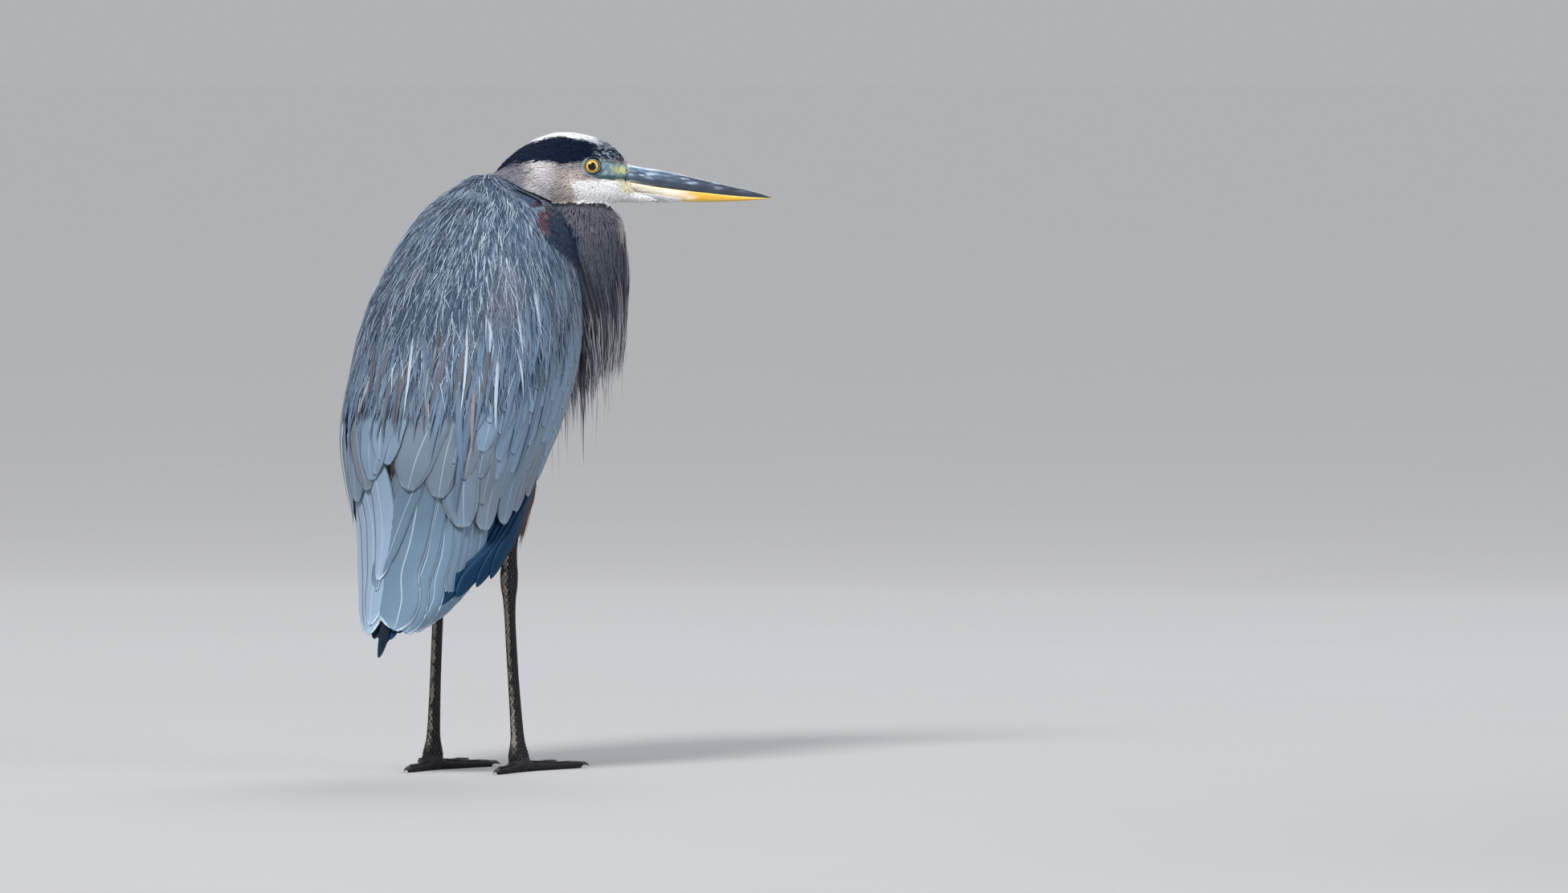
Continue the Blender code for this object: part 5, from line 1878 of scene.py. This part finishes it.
def eye_finish(settings):
    """A wet eye: black pupil, yellow iris with fine spokes, and a dark rim."""
    f = Finish("eye", 0.2, Coat_Weight=0.35, Coat_Roughness=0.06, Specular_IOR_Level=0.25)
    out, _, _ = f.split(f.attribute("gaze", output=1))
    spokes = f.noise(f.place(), 2200.0, 2.0)
    iris = f.mix(out.ramp(0.5, 0.72), tone(0xDDB04A), settings.iris_colour)
    iris = f.mix(((spokes - 0.45) * 2.2).clip(), iris, tone(0xA86F12))
    colour = f.mix(out.ramp(0.495, 0.52), (0.003, 0.003, 0.004), iris)
    colour = f.mix(out.ramp(0.72, 0.77), colour, (0.004, 0.004, 0.005))
    f.set("Base Color", colour)
    return f.material


def foot_centre(label):
    line = smooth_curve(LEG_LINES[label])
    x, y = line(0.0)
    return np.array([x, SIDES[label] * y, 0.0])


def turned(points, degrees):
    a = math.radians(degrees)
    x, y, z = np.asarray(points, float).T
    return np.stack(
        [x * math.cos(a) - y * math.sin(a), x * math.sin(a) + y * math.cos(a), z], axis=1
    )


def build_claws(settings):
    finish = claw_finish()
    for label in SIDES:
        parts = []
        for toe, heading in TOE_HEADINGS[label].items():
            rings = []
            for share in np.linspace(0, 1, 10)[:-1]:
                x = TOE_LENGTHS[toe] - 1.5 + 13.3 * share
                z = 3.6 + 1.6 * math.sin(share * 2.4) - 2.9 * share**2
                radius = 2.3 * (1 - share**1.6) ** 0.8 + 0.12
                rings.append([(x, 0.75 * radius * math.cos(a), max(z + radius * math.sin(a), 0.05))
                              for a in circle(12)])
            made, quads = lofted(rings, np.array([TOE_LENGTHS[toe] + 12.0, 0, 1.0]))
            parts.append((turned(made, heading) + foot_centre(label), quads))
        points, faces = joined(parts)
        mesh = mesh_from_arrays(f"claws_{label}", to_scene(points), faces)
        facing_out(mesh)
        finish_piece(
            mesh, f"claws_{label}", finish, [f"claw_{toe}_{label}" for toe in TOE_LENGTHS]
        )


def claw_finish():
    f = Finish("claw_horn", 0.38, Coat_Weight=0.2, Coat_Roughness=0.3)
    grain = f.noise(f.place(), 420.0, 3.0)
    f.set("Base Color", f.mix(grain, tone(0x17181B), tone(0x3B3A3B)))
    f.set("Roughness", 0.3 + grain * 0.25)
    f.bump(grain, 0.25, 0.0003)
    return f.material


def scale_tree():
    """Geometry Nodes: a low rounded plate on every point, turned to its own heading."""
    tree = bpy.data.node_groups.new("leg_plates", "GeometryNodeTree")
    face = tree.interface
    face.new_socket("Points", in_out="INPUT", socket_type="NodeSocketGeometry")
    for name, value in (("Thickness", 0.3), ("Overlap", 1.15)):
        made = face.new_socket(name, in_out="INPUT", socket_type="NodeSocketFloat")
        made.default_value = value
    face.new_socket("Finish", in_out="INPUT", socket_type="NodeSocketMaterial")
    face.new_socket("Plates", in_out="OUTPUT", socket_type="NodeSocketGeometry")
    entry = tree.nodes.new("NodeGroupInput")
    points, thickness, overlap, finish = (Wire(tree, entry.outputs[i]) for i in range(4))

    def named(name):
        settings = {"data_type": "FLOAT_VECTOR"}
        return add_node(tree, "GeometryNodeInputNamedAttribute", settings, {0: name})

    plate = add_node(tree, "GeometryNodeMeshUVSphere", None, {0: 8, 1: 4, 2: 0.5})
    turn = add_node(tree, "FunctionNodeAlignRotationToVector", {"axis": "Z"}, {2: named("outward")})
    turn = add_node(
        tree, "FunctionNodeAlignRotationToVector", {"axis": "X", "pivot_axis": "Z"},
        {0: turn, 2: named("lie")}
    )
    flat = add_node(tree, "ShaderNodeCombineXYZ", None, {0: overlap, 1: overlap, 2: thickness})
    size = add_node(
        tree, "ShaderNodeVectorMath", {"operation": "MULTIPLY"}, {0: named("size"), 1: flat}
    )
    spread = add_node(
        tree, "GeometryNodeInstanceOnPoints", None, {0: points, 2: plate, 5: turn, 6: size}
    )
    real = add_node(tree, "GeometryNodeRealizeInstances", None, {0: spread})
    dressed = add_node(tree, "GeometryNodeSetMaterial", None, {0: real, 2: finish})
    leave = tree.nodes.new("NodeGroupOutput")
    tree.links.new(dressed.socket, leave.inputs[0])
    return tree


def plates(name, points, outward, lie, sizes, tint, finish):
    """Scales made by the tree above, as one plain mesh."""
    mesh = bpy.data.meshes.new(name)
    mesh.from_pydata(to_scene(points).tolist(), [], [])
    for key, values in (("outward", outward), ("lie", lie), ("size", sizes * MM)):
        mesh.attributes.new(key, "FLOAT_VECTOR", "POINT").data.foreach_set(
            "vector", values.astype(np.float32).ravel()
        )
    add_colour(mesh, "tint", tint)
    helper = placed(f"{name}_points", mesh)
    modifier = helper.modifiers.new("plates", "NODES")
    modifier.node_group = scale_tree()
    keys = {item.name: item.identifier for item in modifier.node_group.interface.items_tree}
    modifier[keys["Thickness"]] = 0.28
    modifier[keys["Overlap"]] = 1.12
    modifier[keys["Finish"]] = finish
    made = evaluated_mesh(helper)
    made.name = name
    for key in ("outward", "lie", "size"):
        if key in made.attributes:
            made.attributes.remove(made.attributes[key])
    finish_piece(made, name, finish)


LEG_RINGS = smooth_curve([  # height, half width, half depth
    (16.35, 6.8, 8.4), (28, 6.0, 7.2), (50, 5.3, 6.3), (95, 4.7, 5.5), (145, 4.6, 5.5),
    (168, 5.4, 6.8), (181, 7.0, 8.9), (191, 7.4, 9.4), (202, 6.4, 8.3), (218, 5.4, 6.8),
    (242, 6.2, 7.6),
])
TOE_RINGS = smooth_curve([  # share of the length, half width, half height
    (0.0, 5.4, 7.0), (0.2, 4.8, 5.2), (0.4, 4.8, 4.6), (0.6, 4.0, 3.9), (0.78, 4.2, 3.9),
    (1.0, 3.0, 3.2),
])
PLATES_AROUND, SCALES_END = 13, 246  # plates round the leg, and where they end above


def leg_plates(label, random):
    """Net-like plates round the leg, and a column of broad ones down its front."""
    side = SIDES[label]
    line = smooth_curve(LEG_LINES[label])
    rows = []
    height, row = 6.5, 0
    while height < SCALES_END:
        half_width, half_depth = (
            np.array(LEG_RINGS(max(height, 16.35))) * (1 + 0.3 * ease(-height, -36, -12))
        )
        x, y = line(height)
        for i in range(PLATES_AROUND):
            turn = 2 * math.pi * (i + 0.5 * (row % 2)) / PLATES_AROUND + random.uniform(-0.05, 0.05)
            broad = math.cos(turn) > 0.75
            out = np.array([math.cos(turn) / half_depth, math.sin(turn) / half_width, 0.0])
            place = (
                x + half_depth * math.cos(turn), side * y + half_width * math.sin(turn), height
            )
            pale = 0.5 + 0.5 * math.cos(turn - math.radians(187))
            girth = 2 * math.pi * half_width / PLATES_AROUND
            size = (4.2, girth * (1.25 if broad else 1.0), 2.8 if broad else 2.4)
            rows.append((*place, *unit(out), 0, 0, -1.0, *size, pale))
        height += 3.1
        row += 1
    return rows


def toe_plates(label, random):
    rows = []
    for toe, heading in TOE_HEADINGS[label].items():
        length = TOE_LENGTHS[toe]
        ahead = 6.0
        while ahead < length - 1.5:
            half_width, half_height = TOE_RINGS(ahead / length)
            for turn in (-62, -20, 20, 62) if ahead < 14 else (-66, 0, 66):
                a = math.radians(90 + turn)
                size = (3.6, half_width * (1.5 if turn == 0 else 0.9), 2.2)
                spot = turned(
                    [
                        (
                            ahead, half_width * math.cos(a),
                            0.88 * half_height + half_height * math.sin(a)
                        )
                    ], heading
                )
                out = turned([(0, math.cos(a), math.sin(a))], heading)[0]
                lie = turned([(1.0, 0, 0)], heading)[0]
                rows.append(
                    (
                        *(spot[0] + foot_centre(label)), *out, *lie, *size,
                        0.25 + 0.3 * random.random()
                    )
                )
            ahead += 3.0
    return rows


def build_leg_scales(settings):
    random = np.random.default_rng(SCALE_SEED)
    finish = scale_finish()
    for label in SIDES:
        rows = np.array(leg_plates(label, random) + toe_plates(label, random))
        pale = ease(rows[:, 12], 0.955, 0.982) * ease(mottle(rows[:, :3], 7.0), -1.1, -0.2)
        pale = np.clip(pale, 0, 1) * ease(rows[:, 2], 14, 30)
        tint = blend(tone(0x111114), tone(0x8C857A), pale)
        tint = blend(tint, tone(0x26262A), random.random(len(tint)) * 0.6 * (1 - pale))
        plates(
            f"leg_scales_{label}", rows[:, :3], rows[:, 3:6], rows[:, 6:9], rows[:, 9:12], tint,
            finish
        )


def scale_finish():
    """Dry leathery scales with a low sheen."""
    f = Finish("leg_scale", 0.5, Coat_Weight=0.12, Coat_Roughness=0.4, Specular_IOR_Level=0.2)
    cloud = f.noise(f.place(), 500.0, 4.0)
    shade = 0.8 + cloud * 0.45
    f.set("Base Color", f.stained(shade))
    f.set("Roughness", 0.42 + cloud * 0.25)
    f.bump(cloud, 0.35, 0.0003)
    return f.material


# ---- studio
VIEW_AZIMUTH, VIEW_RISE, SKY, LAMP_GAIN = -52.0, 2.0, 0.445, 1.6


def soft_light(name, place, size, power, aim, colour):
    light = bpy.data.lights.new(name, "AREA")
    light.shape, light.size, light.energy, light.color = "DISK", size, power * LAMP_GAIN, colour
    made = placed(name, light)
    made.location = place
    made.rotation_euler = (Vector(aim) - Vector(place)).to_track_quat("-Z", "Y").to_euler()


def lit_by(points, lamps, aim):
    """How brightly the sky and the lamps light a point of the floor."""
    total = np.full(len(points), SKY)
    for _, place, _, power, _ in lamps:
        ray = points - place
        reach = np.linalg.norm(ray, axis=1)
        facing = ray @ (aim - place) / (reach * np.linalg.norm(aim - place))
        total += LAMP_GAIN * power * np.clip(facing, 0, 1) * place[2] / (math.pi**2 * reach**3)
    return total


def build_stage(settings):
    turn = math.radians(VIEW_AZIMUTH)
    right = np.array([math.cos(turn), math.sin(turn), 0])
    ahead = np.array([-math.sin(turn), math.cos(turn), 0])
    middle = right * 0.248 + ahead * 0.039 + np.array([0, 0, 0.3136])
    camera_data = bpy.data.cameras.new("camera")
    camera_data.lens, camera_data.sensor_width = settings.lens, 36.0
    camera_data.clip_end = 200.0
    distance = 1.523 * settings.lens / 36.0
    rise = math.radians(VIEW_RISE)
    camera = placed("camera", camera_data)
    eye = middle - ahead * distance * math.cos(rise) + np.array([0, 0, distance * math.sin(rise)])
    camera.location = eye
    camera.rotation_euler = Vector(middle - eye).to_track_quat("-Z", "Y").to_euler()
    bpy.context.scene.camera = camera
    aim = right * 0.02 + np.array([0, 0, 0.36])
    lamps = (
        ("key", -ahead * 1.9 - right * 1.1 + np.array([0, 0, 2.5]), 0.8, 74.0, (1.0, 0.985, 0.96)),
        ("fill", -ahead * 1.6 + right * 2.2 + np.array([0, 0, 1.2]), 2.2, 26.0, (0.93, 0.96, 1.0)),
        ("rim", ahead * 1.6 + right * 0.4 + np.array([0, 0, 2.2]), 1.4, 20.0, (0.95, 0.97, 1.0)),
    )
    for name, place, size, power, colour in lamps:
        soft_light(name, place, size, power, aim, colour)
    sides, base = 96, np.array(settings.floor_colour)
    reach = np.concatenate([np.linspace(0.25, 12, 48), [20, 40, 90]])
    turn, away = np.meshgrid(circle(sides), reach)
    points = np.stack([away * np.cos(turn), away * np.sin(turn), 0 * away], axis=-1).reshape(-1, 3)
    centre = len(points)
    quads = grid_faces(len(reach), sides, closed=True).tolist()
    quads += [(i, (i + 1) % sides, centre) for i in range(sides)]
    mesh = bpy.data.meshes.new("floor")
    mesh.from_pydata([*points.tolist(), (0, 0, 0)], [], quads)
    mesh.shade_smooth()
    facing_out(mesh, flat=True)
    points = np.vstack([points, [[0, 0, 0]]])
    # Painted light and shade: the floor's tint is a brightness that fades outwards, divided by how
    # brightly the sky and lamps light each point.
    wanted = np.interp(np.linalg.norm(points, axis=1), [0.5, 3, 10, 40], [1.0, 0.94, 0.8, 0.7])
    add_colour(
        mesh, "tint", np.clip(base * (wanted / lit_by(points, lamps, aim))[:, None], 0, 0.985)
    )
    f = Finish("studio_floor", 0.9)
    paper = f.noise(f.place(), 3.0, 2.0) * 0.03 + 0.985
    f.set("Base Color", f.stained(paper))
    mesh.materials.append(f.material)
    floor = placed("floor", mesh)
    world = bpy.data.worlds.new("studio")
    bpy.context.scene.world = world
    world.use_nodes = True
    world.node_tree.nodes["Background"].inputs["Color"].default_value = (0.8, 0.81, 0.83, 1.0)
    world.node_tree.nodes["Background"].inputs["Strength"].default_value = 0.55
    bpy.context.scene.view_settings.view_transform = "Standard"


# ---- operators and panel
class HERON_OT_skin(bpy.types.Operator):
    """Build the skin that lies under the coat, with the lids round the eyes"""

    bl_idname = "heron.skin"
    bl_label = "Skin"

    def execute(self, context):
        build_skin(context.scene.heron)
        return {"FINISHED"}


class HERON_OT_head(bpy.types.Operator):
    """Lay the short feathers of the head"""

    bl_idname = "heron.head_feathers"
    bl_label = "Head Feathers"

    def execute(self, context):
        build_head_feathers(context.scene.heron)
        return {"FINISHED"}


class HERON_OT_neck(bpy.types.Operator):
    """Lay the soft feathers of the folded neck"""

    bl_idname = "heron.neck_feathers"
    bl_label = "Neck Feathers"

    def execute(self, context):
        build_neck_feathers(context.scene.heron)
        return {"FINISHED"}


class HERON_OT_breast(bpy.types.Operator):
    """Hang the loose plumes from the neck"""

    bl_idname = "heron.breast_plumes"
    bl_label = "Breast Plumes"

    def execute(self, context):
        build_breast_plumes(context.scene.heron)
        return {"FINISHED"}


class HERON_OT_mantle(bpy.types.Operator):
    """Lay the hair-like plumes of the back"""

    bl_idname = "heron.mantle_feathers"
    bl_label = "Mantle Feathers"

    def execute(self, context):
        build_mantle_feathers(context.scene.heron)
        return {"FINISHED"}


class HERON_OT_scapulars(bpy.types.Operator):
    """Lay the long plumes over the wings"""

    bl_idname = "heron.scapular_plumes"
    bl_label = "Scapular Plumes"

    def execute(self, context):
        build_scapular_plumes(context.scene.heron)
        return {"FINISHED"}


class HERON_OT_shoulders(bpy.types.Operator):
    """Lay the black patches at the bend of the wings"""

    bl_idname = "heron.shoulder_feathers"
    bl_label = "Shoulder Feathers"

    def execute(self, context):
        build_shoulder_patches(context.scene.heron)
        return {"FINISHED"}


class HERON_OT_wings(bpy.types.Operator):
    """Build the coverts, secondaries and primaries of both wings"""

    bl_idname = "heron.wing_feathers"
    bl_label = "Wing Feathers"

    def execute(self, context):
        build_wing_feathers(context.scene.heron)
        return {"FINISHED"}


class HERON_OT_belly(bpy.types.Operator):
    """Lay the feathers of the belly and the thighs"""

    bl_idname = "heron.belly_feathers"
    bl_label = "Belly and Thigh Feathers"

    def execute(self, context):
        build_belly_feathers(context.scene.heron)
        return {"FINISHED"}


class HERON_OT_tail(bpy.types.Operator):
    """Build the tail under the folded wings"""

    bl_idname = "heron.tail_feathers"
    bl_label = "Tail Feathers"

    def execute(self, context):
        build_tail_feathers(context.scene.heron)
        return {"FINISHED"}


class HERON_OT_bill(bpy.types.Operator):
    """Build both halves of the bill"""

    bl_idname = "heron.bill"
    bl_label = "Bill"

    def execute(self, context):
        build_bill(context.scene.heron)
        return {"FINISHED"}


class HERON_OT_eyes(bpy.types.Operator):
    """Build both eyeballs"""

    bl_idname = "heron.eyes"
    bl_label = "Eyes"

    def execute(self, context):
        build_eyes(context.scene.heron)
        return {"FINISHED"}


class HERON_OT_claws(bpy.types.Operator):
    """Build the claws of both feet"""

    bl_idname = "heron.claws"
    bl_label = "Claws"

    def execute(self, context):
        build_claws(context.scene.heron)
        return {"FINISHED"}


class HERON_OT_scales(bpy.types.Operator):
    """Lay the plates of the legs and toes"""

    bl_idname = "heron.leg_scales"
    bl_label = "Leg Scales"

    def execute(self, context):
        build_leg_scales(context.scene.heron)
        return {"FINISHED"}


class HERON_OT_stage(bpy.types.Operator):
    """Set the floor, the lights and the camera"""

    bl_idname = "heron.stage"
    bl_label = "Stage"

    def execute(self, context):
        build_stage(context.scene.heron)
        return {"FINISHED"}


PIECES = [
    HERON_OT_skin,
    HERON_OT_head,
    HERON_OT_neck,
    HERON_OT_breast,
    HERON_OT_mantle,
    HERON_OT_scapulars,
    HERON_OT_shoulders,
    HERON_OT_wings,
    HERON_OT_belly,
    HERON_OT_tail,
    HERON_OT_bill,
    HERON_OT_eyes,
    HERON_OT_claws,
    HERON_OT_scales,
    HERON_OT_stage,
]


class HERON_PT_sidebar(bpy.types.Panel):
    """The bird's settings and its pieces"""

    bl_idname = "HERON_PT_sidebar"
    bl_label = "Great Blue Heron"
    bl_space_type = "VIEW_3D"
    bl_region_type = "UI"
    bl_category = "Heron"

    def draw(self, context):
        settings = context.scene.heron
        for name in HeronSettings.__annotations__:
            self.layout.prop(settings, name)
        for piece in PIECES:
            self.layout.operator(piece.bl_idname)


def register():
    for made in (HeronSettings, *PIECES, HERON_PT_sidebar):
        bpy.utils.register_class(made)
    bpy.types.Scene.heron = bpy.props.PointerProperty(type=HeronSettings)


def unregister():
    del bpy.types.Scene.heron
    for made in (HERON_PT_sidebar, *reversed(PIECES), HeronSettings):
        bpy.utils.unregister_class(made)


def main():
    register()
    for piece in PIECES:
        group, name = piece.bl_idname.split(".")
        getattr(getattr(bpy.ops, group), name)()


if __name__ == "__main__":
    main()
